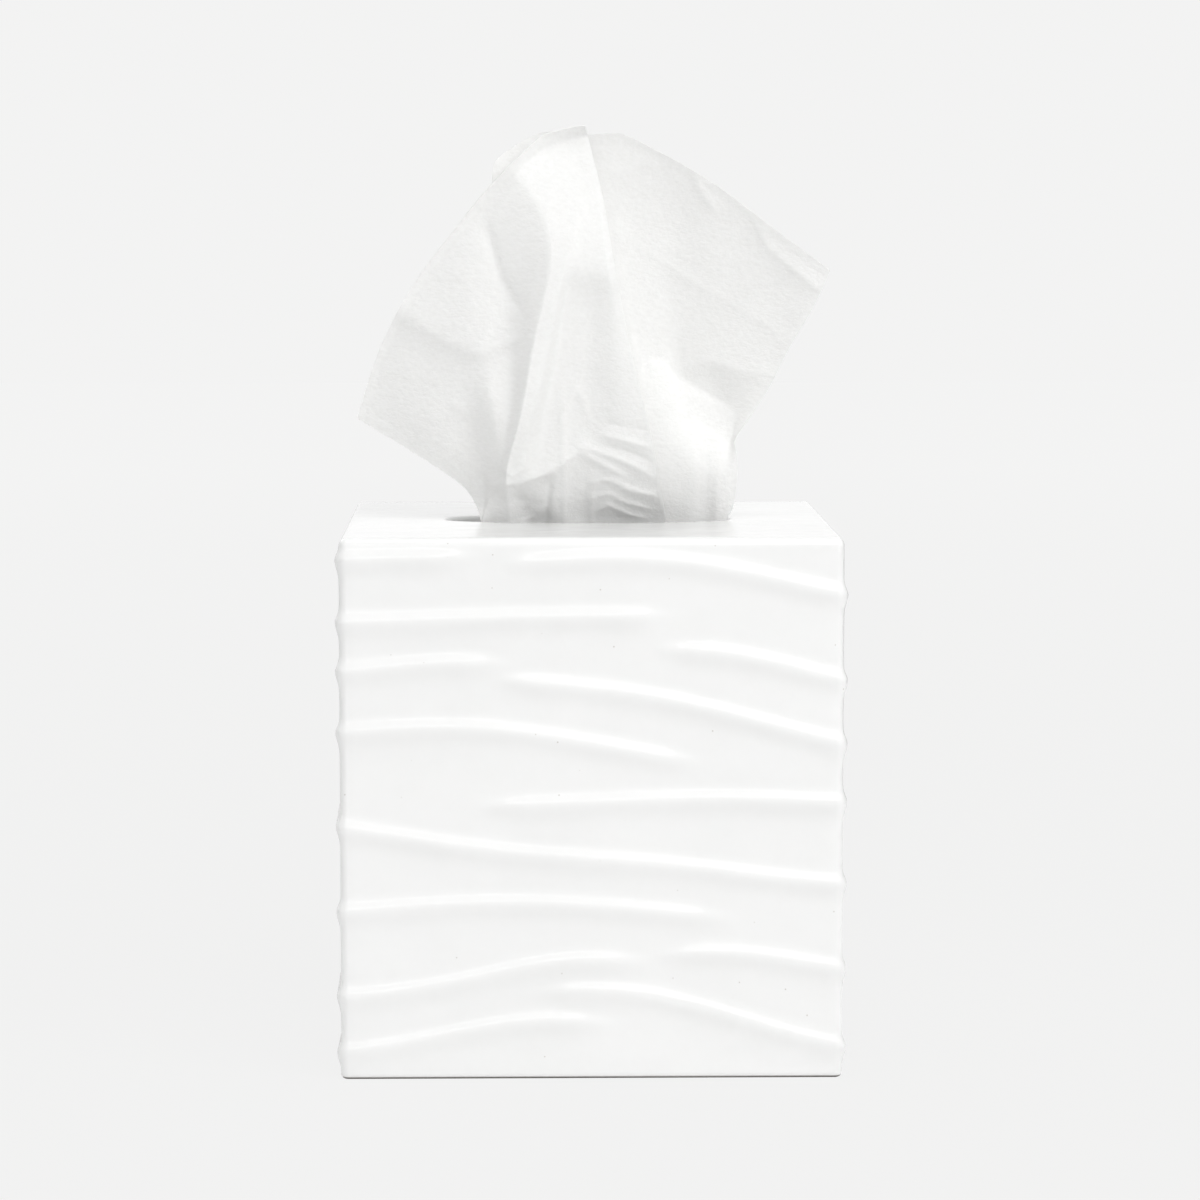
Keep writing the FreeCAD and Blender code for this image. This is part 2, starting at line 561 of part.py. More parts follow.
def offset_row(row, distance):
    """The row moved sideways, square to itself as seen from above, with mitred corners."""
    moved = []
    for number, here in enumerate(row):
        before = row[max(number - 1, 0)]
        after = row[min(number + 1, len(row) - 1)]
        back = (here - before) if number else (after - here)
        ahead = (after - here) if number < len(row) - 1 else (here - before)
        normals = [Vector(step.y, -step.x, 0).normalize() for step in (back, ahead)]
        middle = (normals[0] + normals[1]).normalize()
        stretch = min(1 / middle.dot(normals[0]), LONGEST_MITRE)
        moved.append(here + middle * distance * stretch)
    return moved


def facets(row, next_row):
    """Two flat triangles for each step between two rows of points."""
    made = []
    for number in range(len(row) - 1):
        corners = (row[number], row[number + 1], next_row[number + 1], next_row[number])
        for three in (corners[:3], (corners[0], corners[2], corners[3])):
            made.append(Part.Face(Part.makePolygon([*three, three[0]])))
    return made


def raised_tissue():
    """The first sheet: half still folded flat on the stack, half drawn up through the slit and the mouth."""
    rows = fold_rows()
    half = size("sheet_thickness") / 2
    front = [offset_row(row, half) for row in rows]
    back = [offset_row(row, -half) for row in rows]
    faces = facets(front[0], back[0]) + facets(front[-1], back[-1])
    for end in (0, -1):
        faces += facets([row[end] for row in front], [row[end] for row in back])
    for side in (front, back):
        for row, next_row in zip(side, side[1:]):
            faces += facets(row, next_row)
    shell = Part.makeShell(faces)
    shell.sewShape()
    drawn_up = Part.Solid(shell)
    if drawn_up.Volume < 0:
        drawn_up.reverse()
    leaf = Part.makeBox(
        size("stack_width"),
        size("leaf_depth") + LEAF_MARGIN,
        size("sheet_thickness"),
        Vector(-size("stack_width") / 2, -LEAF_MARGIN, 2 * size("board") + size("stack_height")),
    )
    tissue = doc.addObject("Part::Feature", "raised_tissue")
    tissue.Shape = drawn_up.fuse(leaf)
    tissue.Placement = Placement()
    return tissue


# ---------------------------------------------------------------- build, check and write

SUB_PARTS = {
    "holder": holder(),
    "carton": carton(),
    "slit_film": slit_film(),
    "tissue_stack": tissue_stack(),
    "raised_tissue": raised_tissue(),
}
for label, sub_part in SUB_PARTS.items():
    sub_part.Label = label
doc.recompute()

failed = [item.Name for item in doc.Objects if {"Invalid", "Error"} & set(item.State)]
if failed:
    raise RuntimeError(f"failed: {failed}")
os.makedirs("parts", exist_ok=True)
for label, sub_part in SUB_PARTS.items():
    shape = sub_part.Shape
    if shape.isNull() or not shape.isValid() or len(shape.Solids) != 1:
        raise RuntimeError(f"{label} is not one good solid")
    shape.exportStep(f"parts/{label}.step")
    box = shape.BoundBox
    print(f"{label}: {shape.Volume / 1000:.1f} cm3, {len(shape.Faces)} faces, top at {box.ZMax:.2f}")
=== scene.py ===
import math

import bmesh
import bpy
import numpy as np
from mathutils import Matrix, Vector


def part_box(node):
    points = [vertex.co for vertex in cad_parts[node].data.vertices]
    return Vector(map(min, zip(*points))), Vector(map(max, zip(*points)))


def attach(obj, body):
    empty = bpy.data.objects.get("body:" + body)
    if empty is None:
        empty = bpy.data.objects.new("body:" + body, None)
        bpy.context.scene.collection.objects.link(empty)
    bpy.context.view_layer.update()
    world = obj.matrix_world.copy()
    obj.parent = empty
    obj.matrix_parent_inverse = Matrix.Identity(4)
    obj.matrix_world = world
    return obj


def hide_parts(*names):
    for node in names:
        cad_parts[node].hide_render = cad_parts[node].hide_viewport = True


# A glazed ceramic tissue box holder with rippled walls, over a carton of tissues. Metres, +Z up, front at -Y.
# The tables below are in millimetres, as the CAD's are; MM brings them to metres.

MM = 0.001
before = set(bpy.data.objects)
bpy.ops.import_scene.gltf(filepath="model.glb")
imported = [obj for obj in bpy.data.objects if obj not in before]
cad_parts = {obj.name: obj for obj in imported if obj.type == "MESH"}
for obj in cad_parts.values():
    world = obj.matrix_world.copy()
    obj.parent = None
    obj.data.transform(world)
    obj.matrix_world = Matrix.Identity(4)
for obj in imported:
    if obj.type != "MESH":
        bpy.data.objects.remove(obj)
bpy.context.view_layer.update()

STACK_LOW, STACK_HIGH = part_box("tissue_stack")
FILM_LOW, FILM_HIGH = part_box("slit_film")


# -------- node helpers


def new_material(name):
    material = bpy.data.materials.new(name)
    material.use_nodes = True
    material.node_tree.nodes.clear()
    return material, material.node_tree


def surfaced(material, shader):
    """The material with a shader at its output."""
    add_node(material.node_tree, "ShaderNodeOutputMaterial", Surface=shader)
    return material


def feed(tree, socket, value):
    """Link an input socket to another node's output, or give it a plain value."""
    if isinstance(value, bpy.types.NodeSocket):
        tree.links.new(value, socket)
    else:
        socket.default_value = value


def add_node(tree, kind, *numbered, **named):
    """A node with its properties set, and its input sockets fed by name or in their order."""
    node = tree.nodes.new(kind)
    for key, value in named.items():
        if hasattr(node, key):
            setattr(node, key, value)
        else:
            feed(tree, node.inputs[key.replace("_", " ")], value)
    for socket, value in zip(node.inputs, numbered):
        feed(tree, socket, value)
    return node


def result(tree, kind, *numbered, **named):
    """The first output of a new node."""
    return add_node(tree, kind, *numbered, **named).outputs[0]


def object_coordinates(tree, scale=(1.0, 1.0, 1.0)):
    place = add_node(tree, "ShaderNodeTexCoord").outputs["Object"]
    return result(tree, "ShaderNodeMapping", Vector=place, Scale=scale)


def noise(tree, place, scale, detail, roughness):
    return result(tree, "ShaderNodeTexNoise", Vector=place, Scale=scale, Detail=detail, Roughness=roughness)


def map_range(tree, value, **ends):
    return result(tree, "ShaderNodeMapRange", Value=value, **ends)


def math_node(tree, operation, first, second):
    return result(tree, "ShaderNodeMath", first, second, operation=operation)


def mixed(tree, kind, factor, first, second):
    return add_node(tree, "ShaderNodeMix", data_type=kind, Factor=factor, A=first, B=second).outputs["Result"]


def bump(tree, height, strength, distance, **beneath):
    return result(tree, "ShaderNodeBump", Height=height, Strength=strength, Distance=distance, **beneath)


def add_inputs(tree, rows):
    """Give a node group its inputs, from rows of name, kind and value, and return their sockets inside it."""
    for name, kind, value in rows:
        socket = tree.interface.new_socket(name, in_out="INPUT", socket_type="NodeSocket" + kind)
        if value is not None:
            socket.default_value = value
    return tree.nodes.new("NodeGroupInput").outputs


def add_outputs(tree, rows):
    """Give a node group its outputs, from rows of name, kind and the socket that each puts out."""
    for name, kind, _ in rows:
        tree.interface.new_socket(name, in_out="OUTPUT", socket_type="NodeSocket" + kind)
    add_node(tree, "NodeGroupOutput", *[source for _, _, source in rows])


# -------- mesh helpers


def add_object(name, data):
    added = bpy.data.objects.new(name, data)
    bpy.context.scene.collection.objects.link(added)
    return added


def mesh_piece(name, points, faces, material, smooth=True):
    """A mesh object from points in millimetres."""
    mesh = bpy.data.meshes.new(name)
    mesh.from_pydata((np.asarray(points) * MM).tolist(), [], faces)
    mesh.materials.append(material)
    mesh.polygons.foreach_set("use_smooth", [smooth] * len(mesh.polygons))
    mesh.update()
    return add_object(name, mesh)


def grid_faces(rows, columns, close_rows=False, close_columns=False):
    """Quads over a grid of points that is stored row by row."""
    faces = []
    for row in range(rows if close_rows else rows - 1):
        for column in range(columns if close_columns else columns - 1):
            here = row * columns
            above = (row + 1) % rows * columns
            after = (column + 1) % columns
            faces.append((here + column, here + after, above + after, above + column))
    return faces


def smooth_step(x):
    x = np.clip(x, 0.0, 1.0)
    return x * x * (3.0 - 2.0 * x)


# -------- the glazed cover

COVER_WIDTH = 134.0
COVER_HEIGHT = 145.0
WALL = 5.0
UPRIGHT_RADIUS = 2.2
TOP_RADIUS = 2.2
CAVITY_RADIUS = 4.0
FOOT_BEVEL = 0.9
MOUTH_LENGTH = 79.0
MOUTH_WIDTH = 30.0
MOUTH_END_RADIUS = 9.0
LIP_RADIUS = 1.3
RIPPLE_HEIGHT = 1.1
UPPER_FLANK = 1.45      # reach of a ripple's steeper upper flank, and of its lower one
LOWER_FLANK = 2.3
RIPPLE_FADE = 17.0      # length over which a loose end sinks into the wall,
NARROWEST = 0.72        # and the share of its flanks' reach that is left there
MEETING = 0.25          # share of the lower ripple's height that is added where two meet
FOOT_FADE = 2.5         # height over which the ripples come out of the wall above the foot
PER_SIDE = 62           # points of each ring on one wall,
PER_CORNER = 8          # and round one upright edge
WALL_ROWS = 186
TOP_ROWS = 14
INNER_ROWS = 18
EDGE_STEPS = 8          # of the top edge's quarter turn,
LIP_STEPS = 6           # and of the mouth's lip
# Eased corners of the profile, as steps outward and upward from where the two flat faces would meet.
OUTER_FOOT = [(-0.95, 0.0), (-0.45, 0.3)]       # in shares of the foot's bevel
MOUTH_UNDERSIDE = [(0.0, 0.8), (0.3, 0.15), (1.0, 0.0)]
CEILING_CORNER = [(-2.0, 0.0), (-0.6, -0.6), (0.0, -2.0)]
INNER_FOOT = [(0.0, 0.8), (0.35, 0.2), (0.9, 0.0)]
INNER_WALL = (8.0, 3.0)     # where its rows start below the ceiling, and end above the ground

# Crest lines over half a turn of the walls: walls counted from the front left edge, and the height as a
# share of the cover's. The other half turn has the same lines.
RIPPLES = {
    "rim_left": [(-0.38, 0.948), (0.0, 0.960), (0.30, 0.966)],
    "rim_right": [(0.30, 0.948), (0.50, 0.962), (0.72, 0.950), (1.0, 0.897), (1.5, 0.858), (2.0, 0.846),
                  (2.32, 0.854), (2.68, 0.857)],
    "short_left": [(-0.46, 0.790), (0.0, 0.756), (0.20, 0.771), (0.36, 0.767)],
    "short_right": [(0.60, 0.796), (0.78, 0.786), (1.0, 0.739), (1.44, 0.712)],
    "belt": [(0.28, 0.742), (0.52, 0.722), (0.76, 0.680), (1.0, 0.623), (1.5, 0.610), (2.0, 0.643),
             (2.27, 0.651), (2.50, 0.622), (2.74, 0.580)],
    "level": [(0.25, 0.506), (0.50, 0.514), (0.78, 0.520), (1.0, 0.513), (1.50, 0.535)],
    "long_slope": [(-0.62, 0.495), (0.0, 0.468), (0.28, 0.428), (0.66, 0.397), (1.0, 0.362), (1.55, 0.392)],
    "low_arch": [(-0.50, 0.290), (0.0, 0.312), (0.32, 0.328), (0.56, 0.318), (0.80, 0.294)],
    "low_belt": [(0.60, 0.224), (0.75, 0.235), (1.0, 0.205), (1.5, 0.200), (2.0, 0.155), (2.28, 0.192),
                 (2.46, 0.221), (2.64, 0.214)],
    "foot_belt": [(0.36, 0.158), (0.54, 0.164), (0.76, 0.122), (1.0, 0.060), (1.5, 0.058), (2.0, 0.051),
                  (2.18, 0.078), (2.38, 0.108), (2.57, 0.100)],
}


def natural_spline(marks, values, wanted):
    """Values at the wanted marks of the natural cubic spline through the given ones."""
    marks = np.asarray(marks, float)
    values = np.asarray(values, float)
    count = len(marks)
    step = np.diff(marks)
    matrix = np.eye(count)
    right = np.zeros_like(values)
    shape = (-1,) + (1,) * (values.ndim - 1)
    slope = np.diff(values, axis=0) / step.reshape(shape)
    for i in range(1, count - 1):
        matrix[i, i - 1 : i + 2] = step[i - 1], 2 * (step[i - 1] + step[i]), step[i]
        right[i] = 6 * (slope[i] - slope[i - 1])
    bend = np.linalg.solve(matrix, right.reshape(count, -1)).reshape(right.shape)
    wanted = np.clip(wanted, marks[0], marks[-1])
    cell = np.clip(np.searchsorted(marks, wanted, side="right") - 1, 0, count - 2)
    h = step[cell].reshape(shape)
    a = (marks[cell + 1] - wanted).reshape(shape) / h
    b = 1 - a
    curved = (a**3 - a) * bend[cell] + (b**3 - b) * bend[cell + 1]
    return a * values[cell] + b * values[cell + 1] + curved * h**2 / 6


def rounded_square(half, radius):
    """Points, outward directions and wall counts round a rounded square, from the front left corner on."""
    points, outward, walls = [], [], []
    flat = half - radius
    for side in range(4):
        turn = math.pi / 2 * side
        cos, sin = math.cos(turn), math.sin(turn)
        for step in range(PER_SIDE):
            x = -flat + 2 * flat * step / PER_SIDE
            points.append((x * cos + half * sin, x * sin - half * cos))
            outward.append((sin, -cos))
            walls.append(side + (x + half) / (2 * half))
        for step in range(PER_CORNER):
            angle = turn - math.pi / 2 + math.pi / 2 * step / PER_CORNER
            nx, ny = math.cos(angle), math.sin(angle)
            points.append((flat * cos + flat * sin + radius * nx, flat * sin - flat * cos + radius * ny))
            outward.append((nx, ny))
            # a round edge is about 0.8 of its radius long on each side of the corner
            walls.append(side + 1 + (step / PER_CORNER - 0.5) * radius / half * 0.8)
    return np.array(points), np.array(outward), np.array(walls)


def oval_outline(shares, length, width, end_radius):
    """Points and outward directions of a four-arc oval, at shares of the way round from the front middle."""
    half, rise = length / 2, width / 2
    # the long sides' radius follows, because their arcs meet the ends' without a corner
    side_radius = (half**2 + rise**2 - 2 * half * end_radius) / (2 * (rise - end_radius))
    spread = math.atan2(half - end_radius, side_radius - rise)
    side_arc = side_radius * spread
    quarter = side_arc + end_radius * (math.pi / 2 - spread)
    points, outward = [], []
    for share in shares:
        along = (share % 1.0) * 4 * quarter
        number = int(along // quarter)
        along -= number * quarter
        if number % 2:
            along = quarter - along
        if along <= side_arc:
            angle, radius = along / side_radius, side_radius
            centre = (0.0, side_radius - rise)
        else:
            angle, radius = spread + (along - side_arc) / end_radius, end_radius
            centre = (half - end_radius, 0.0)
        nx, ny = math.sin(angle), -math.cos(angle)
        sx = 1 if number in (0, 1) else -1
        sy = 1 if number in (0, 3) else -1
        points.append(((centre[0] + radius * nx) * sx, (centre[1] + radius * ny) * sy))
        outward.append((nx * sx, ny * sy))
    return np.array(points), np.array(outward)


def ripple_relief(walls, heights):
    """How far the wall stands proud, over a grid of wall counts and heights."""
    relief = np.zeros((len(heights), len(walls)))
    fade = RIPPLE_FADE / COVER_WIDTH
    for crest in RIPPLES.values():
        marks, shares = zip(*crest)
        for turn in (-4, -2, 0, 2, 4):
            along = walls + turn
            level = natural_spline(marks, shares, along) * COVER_HEIGHT
            strength = smooth_step((along - marks[0]) / fade) * smooth_step((marks[-1] - along) / fade)
            away = heights[:, None] - level
            narrow = NARROWEST + (1 - NARROWEST) * strength
            flank = np.where(away > 0, UPPER_FLANK, LOWER_FLANK) * narrow
            swell = RIPPLE_HEIGHT * strength * np.exp(-0.5 * (away / flank) ** 2)
            relief = np.maximum(relief, swell) + MEETING * np.minimum(relief, swell)
    return relief


def glazed_cover(material):
    """The whole cover as one closed skin: walls, rounded top, mouth, ceiling, inner walls and foot."""
    half = COVER_WIDTH / 2
    plan, outward, walls = rounded_square(half, UPRIGHT_RADIUS)
    count = len(plan)
    shares = np.arange(count) / count - (PER_SIDE / 2) / count
    rim, rim_out = oval_outline(shares, MOUTH_LENGTH, MOUTH_WIDTH, MOUTH_END_RADIUS)
    inner_plan, inner_out, _ = rounded_square(half - WALL, CAVITY_RADIUS)
    rings = []

    def add(plan_points, height):
        rings.append(np.column_stack([plan_points, np.full(count, float(height))]))

    def quarter_turn(steps):
        for step in range(1, steps + 1):
            angle = math.pi / 2 * step / steps
            yield step, math.sin(angle), 1 - math.cos(angle)

    # the outer wall, from the foot's outer bevel up to where the top edge starts to round
    wall_top = COVER_HEIGHT - TOP_RADIUS
    heights = np.linspace(FOOT_BEVEL, wall_top, WALL_ROWS)
    relief = ripple_relief(walls, heights)
    relief *= smooth_step((heights - FOOT_BEVEL) / FOOT_FADE)[:, None]
    for out, up in OUTER_FOOT:
        add(plan + outward * FOOT_BEVEL * out, FOOT_BEVEL * up)
    for row, height in enumerate(heights):
        add(plan + outward * relief[row][:, None], height)
    # the top edge, in which the ripples fade, the top, and the mouth's rounded lip
    for step, rise, fall in quarter_turn(EDGE_STEPS):
        proud = relief[-1] * (1 - smooth_step(step / (EDGE_STEPS - 1)))
        add(plan - outward * (TOP_RADIUS * fall - proud)[:, None], wall_top + TOP_RADIUS * rise)
    edge = rings[-1][:, :2]
    lip = rim + rim_out * LIP_RADIUS
    for share in np.arange(1, TOP_ROWS + 1) / TOP_ROWS:
        add(edge * (1 - share) + lip * share, COVER_HEIGHT)
    for _, rise, fall in quarter_turn(LIP_STEPS):
        add(rim + rim_out * LIP_RADIUS * (1 - rise), COVER_HEIGHT - LIP_RADIUS * fall)
    # down through the mouth, along the ceiling, down the inner walls and out under the foot
    ceiling = COVER_HEIGHT - WALL
    add(rim, COVER_HEIGHT - 2 * LIP_RADIUS)
    for out, up in MOUTH_UNDERSIDE:
        add(rim + rim_out * out, ceiling + up)
    under_mouth = rings[-1][:, :2]
    inner_top = inner_plan + inner_out * CEILING_CORNER[0][0]
    for share in (0.25, 0.5, 0.75, 1.0):
        add(under_mouth * (1 - share) + inner_top * share, ceiling)
    for out, up in CEILING_CORNER[1:]:
        add(inner_plan + inner_out * out, ceiling + up)
    for height in np.linspace(ceiling - INNER_WALL[0], INNER_WALL[1], INNER_ROWS):
        add(inner_plan, height)
    for out, up in INNER_FOOT:
        add(inner_plan + inner_out * out, up)
    faces = grid_faces(len(rings), count, close_rows=True, close_columns=True)
    return mesh_piece("glazed_cover", np.concatenate(rings), faces, material)


GLAZE_TONES = [(0.3, (0.845, 0.847, 0.840, 1)), (0.7, (0.875, 0.875, 0.870, 1))]
PINHOLE_TONE = (0.62, 0.60, 0.57, 1)
# painted contact shadow: the near-black colour given to the bare foot where it meets the floor
FOOT_CONTACT_SHADOW_TONE = (0.20, 0.19, 0.175, 1)


def glaze_material():
    """White glaze with pinholes, over a bare foot whose near-black colour is painted contact shadow."""
    material, tree = new_material("white_glaze")
    place = object_coordinates(tree)
    tone = noise(tree, place, 22.0, 9.0, 0.66)
    shade = add_node(tree, "ShaderNodeValToRGB", Fac=tone)
    for stop, (position, color) in zip(shade.color_ramp.elements, GLAZE_TONES):
        stop.position = position
        stop.color = color
    # pinholes: tiny dark specks in the glaze, in two cells of three
    cells = add_node(tree, "ShaderNodeTexVoronoi", Vector=place, Scale=170.0, Randomness=1.0)
    near = map_range(tree, cells.outputs["Distance"], From_Min=0.018, From_Max=0.050, To_Min=1.0, To_Max=0.0)
    chance = result(tree, "ShaderNodeSeparateColor", Color=cells.outputs["Color"])
    pin = math_node(tree, "MULTIPLY", near, math_node(tree, "GREATER_THAN", chance, 0.35))
    speckled = mixed(tree, "RGBA", pin, shade.outputs["Color"], PINHOLE_TONE)
    # the foot's bevel is wiped bare of glaze and its clay is dull; its near-black colour is painted contact
    # shadow where the foot meets the floor
    height = add_node(tree, "ShaderNodeSeparateXYZ", Vector=place).outputs["Z"]
    bare_foot_and_shade = map_range(tree, height, From_Min=0.0004, From_Max=0.0008, To_Min=1.0, To_Max=0.0)
    gloss = map_range(tree, tone, To_Min=0.09, To_Max=0.19)
    # glaze is never quite flat: it has long soft waves
    waves = noise(tree, place, 60.0, 3.0, 0.5)
    # on the bare foot the base colour turns to the painted contact shadow
    glaze = result(
        tree, "ShaderNodeBsdfPrincipled", IOR=1.5,
        Base_Color=mixed(tree, "RGBA", bare_foot_and_shade, speckled, FOOT_CONTACT_SHADOW_TONE),
        Roughness=mixed(tree, "FLOAT", bare_foot_and_shade, gloss, 0.8),
        Normal=bump(tree, waves, 0.45, 0.0004),
    )
    return surfaced(material, glaze)


# -------- the raised tissue

# The creases of the raised sheet from its left side to its right, each as points (x, y, z) from the cover's
# mouth up to the sheet's free edge. The last entry is how sharp the fold along it is, from 0 to 1.
TISSUE_MARKS = [0.0, 0.08, 0.16, 0.28, 0.46, 0.66, 0.75, 0.85, 1.0]
CREASES = [
    ([(-29.8, -6.0, 144.8), (-31.0, -4.0, 148.6), (-32.9, -2.8, 152.2), (-37.5, -2.8, 156.5),
      (-44.5, -3.6, 161.3), (-52.0, -2.4, 165.9), (-55.4, -1.6, 167.9), (-59.2, -0.8, 170.1),
      (-64.3, 0.4, 173.2)], 0.0),
    ([(-29.6, -6.0, 144.8), (-30.0, -4.2, 149.3), (-31.0, -3.6, 154.0), (-34.5, -4.4, 160.5),
      (-41.0, -5.8, 169.0), (-48.5, -4.2, 177.5), (-51.4, -3.4, 181.2), (-54.3, -2.6, 185.2),
      (-58.5, -1.4, 191.0)], 0.0),
    ([(-29.5, -6.0, 144.8), (-28.8, -4.6, 150.0), (-28.9, -5.0, 156.0), (-31.0, -6.6, 166.0),
      (-36.0, -7.4, 180.0), (-42.0, -5.9, 194.0), (-44.2, -5.3, 198.9), (-46.2, -4.7, 203.4),
      (-49.0, -3.9, 209.5)], 0.0),
    ([(-29.3, -6.4, 144.8), (-27.6, -5.8, 150.5), (-26.2, -7.2, 157.0), (-25.6, -11.0, 170.0),
      (-28.5, -10.0, 188.0), (-32.5, -8.3, 206.0), (-34.0, -7.6, 212.3), (-35.3, -6.9, 218.0),
      (-37.0, -6.0, 225.4)], 0.3),
    ([(-27.5, -6.4, 144.8), (-25.2, -7.4, 150.5), (-24.2, -9.2, 157.5), (-22.5, -12.0, 170.0),
      (-22.0, -11.0, 189.0), (-23.6, -9.8, 206.0), (-24.6, -9.0, 215.0), (-27.0, -7.8, 224.5),
      (-30.2, -6.2, 234.0)], 0.0),
    ([(-22.0, -7.4, 144.8), (-22.3, -9.0, 151.0), (-22.6, -11.4, 158.5), (-19.8, -14.6, 170.0),
      (-16.2, -15.6, 188.0), (-12.2, -15.8, 207.0), (-10.4, -15.1, 217.0), (-12.6, -12.2, 229.0),
      (-22.0, -6.8, 243.0)], 0.9),
    ([(-16.0, -4.6, 144.8), (-18.2, -7.3, 151.0), (-19.0, -10.8, 159.0), (-16.2, -13.6, 172.0),
      (-12.2, -14.8, 189.0), (-8.4, -15.3, 208.0), (-6.2, -14.8, 217.6), (-4.0, -10.6, 231.0),
      (-12.5, -2.2, 251.5)], 0.3),
    ([(-7.0, -6.2, 144.8), (-11.0, -7.5, 151.0), (-12.0, -8.8, 160.0), (-10.8, -9.6, 174.0),
      (-8.2, -10.7, 191.0), (-5.4, -12.7, 209.0), (-3.2, -13.8, 217.2), (-0.6, -9.6, 231.5),
      (-6.5, -1.2, 253.3)], 0.0),
    ([(1.0, -5.2, 144.8), (-2.0, -6.9, 151.0), (-2.0, -8.7, 161.5), (-1.6, -9.5, 175.0),
      (-1.0, -10.5, 191.5), (0.6, -12.2, 209.5), (1.4, -13.3, 217.0), (1.4, -9.2, 231.5),
      (-3.4, -1.0, 254.0)], 0.0),
    ([(12.0, -4.6, 144.8), (11.6, -6.9, 151.0), (10.8, -9.7, 161.0), (9.8, -10.9, 174.0),
      (7.8, -11.7, 190.5), (6.0, -12.5, 209.0), (5.0, -13.0, 217.0), (3.4, -8.6, 232.0),
      (-1.8, -0.9, 254.2)], 0.0),
    ([(22.0, -3.2, 144.9), (20.7, -6.0, 151.5), (19.2, -9.0, 160.3), (16.9, -10.4, 172.4),
      (12.6, -11.0, 189.0), (8.6, -11.2, 208.5), (6.9, -11.4, 217.6), (4.4, -7.8, 232.5),
      (-0.7, -0.8, 254.2)], 1.0),
    ([(13.0, 0.0, 145.0), (11.0, -0.6, 151.5), (9.5, -1.0, 160.5), (7.0, -0.6, 173.0),
      (4.0, 0.4, 190.0), (0.0, 0.8, 210.0), (-1.6, 0.9, 220.2), (-3.8, 1.0, 232.2),
      (-9.0, 1.4, 250.5)], 0.9),
    ([(24.5, 0.5, 145.0), (24.5, 0.2, 151.5), (24.0, 0.6, 161.0), (22.5, 3.6, 175.0),
      (19.5, 7.0, 193.0), (16.0, 6.8, 214.0), (14.1, 6.2, 223.9), (11.7, 5.2, 235.1),
      (7.5, 2.4, 252.2)], 0.0),
    ([(29.0, 0.2, 145.0), (29.2, 0.4, 151.5), (29.0, 0.6, 160.5), (28.5, 6.5, 173.0),
      (27.0, 9.0, 190.0), (25.0, 8.0, 210.0), (24.0, 7.2, 220.0), (22.7, 6.2, 231.1),
      (20.6, 3.4, 246.7)], 0.0),
    ([(33.0, 1.3, 145.0), (33.4, 1.4, 151.0), (34.0, 2.0, 159.5), (34.6, 7.6, 171.0),
      (35.4, 8.4, 187.0), (36.0, 7.0, 205.0), (36.1, 6.2, 213.4), (36.0, 5.2, 223.0),
      (35.5, 3.0, 238.0)], 0.0),
    ([(36.5, 0.6, 145.0), (37.2, 0.8, 150.0), (38.6, 2.0, 158.0), (40.5, 6.6, 167.0),
      (44.5, 6.9, 181.0), (48.5, 5.6, 196.5), (50.0, 4.8, 204.5), (51.4, 3.8, 213.3),
      (53.2, 1.8, 224.8)], 0.0),
    ([(39.2, 1.2, 145.2), (41.0, 1.4, 149.0), (42.0, 2.4, 160.0), (41.4, 4.4, 166.4),
      (48.8, 5.6, 177.6), (55.5, 4.4, 190.5), (58.6, 3.4, 196.1), (62.4, 2.2, 202.7),
      (67.6, 0.6, 214.2)], 0.0),
]
PLEAT_EDGE = 10         # the crease at the front layer's edge,
RIGHT_PANEL = 12        # and the one where the right panel starts
TISSUE_COLUMNS = 250
TISSUE_BELOW = 12       # rows of the grid under the mouth,
TISSUE_FOOT = 72        # in the crumpled foot above it,
TISSUE_ABOVE = 84       # and from there to the free edge
BELOW_MARKS = [-0.34, -0.15]    # of the pack's top and the film's slit, on the marks' scale
PACK_SPREAD = (1.22, 0.25)      # the sheet's width and depth there, as shares of what they are in the mouth,
SLIT_SPREAD = (1.0, 0.85)       # and in the slit
FOOT_MARK = 0.30        # top of the crumpled foot
BUSY_ROW = 40           # a row counted down from the foot's top, whose widths help to spread the columns
LEAST_ROOM = 2.0        # added for every pair of creases, so that none gets too few columns
LEAF_START = 3.0        # where the sheet's other free edge lies on the pack,
LEAF_REACH = 47.0       # and how far back the sheet lies, before it comes forward again over itself
LEAF_MARGIN = 1.5       # from its folded sides to the pack's
LEAF_FOLD = (0.47, 0.06)        # start and length of the fold at one side, as shares of the width
LEAF_TURNS = [0.3, 0.8]     # radius of its rear fold, for the inner and the outer of its two layers
LEAF_MIDDLE = 1.35      # height of that fold's middle above the pack
TISSUE_THICKNESS = 0.22


def hermite_through(marks, values, wanted, sharp):
    """A smooth curve through values that never overshoots, with a corner where sharp is 1."""
    step = np.diff(marks)[:, None]
    slope = np.diff(values, axis=0) / step
    # where the slope keeps its sign, a weighted harmonic mean of it before and after the mark
    same = slope[:-1] * slope[1:] > 0
    before, after = np.where(same, slope[:-1], 1.0), np.where(same, slope[1:], 1.0)
    early, late = 2 * step[1:] + step[:-1], step[1:] + 2 * step[:-1]
    inner = np.where(same, (early + late) / (early / before + late / after), 0.0)
    middle = np.concatenate([slope[:1], inner, slope[-1:]])
    sharp = np.array(sharp)[:, None]
    leaving = middle * (1 - sharp) + np.concatenate([slope, slope[-1:]]) * sharp
    arriving = middle * (1 - sharp) + np.concatenate([slope[:1], slope]) * sharp
    cell = np.clip(np.searchsorted(marks, wanted, side="right") - 1, 0, len(marks) - 2)
    h = step[cell]
    t = (wanted[:, None] - marks[cell][:, None]) / h
    return (
        (2 * t**3 - 3 * t**2 + 1) * values[cell]
        + (t**3 - 2 * t**2 + t) * h * leaving[cell]
        + (3 * t**2 - 2 * t**3) * values[cell + 1]
        + (t**3 - t**2) * h * arriving[cell + 1]
    )


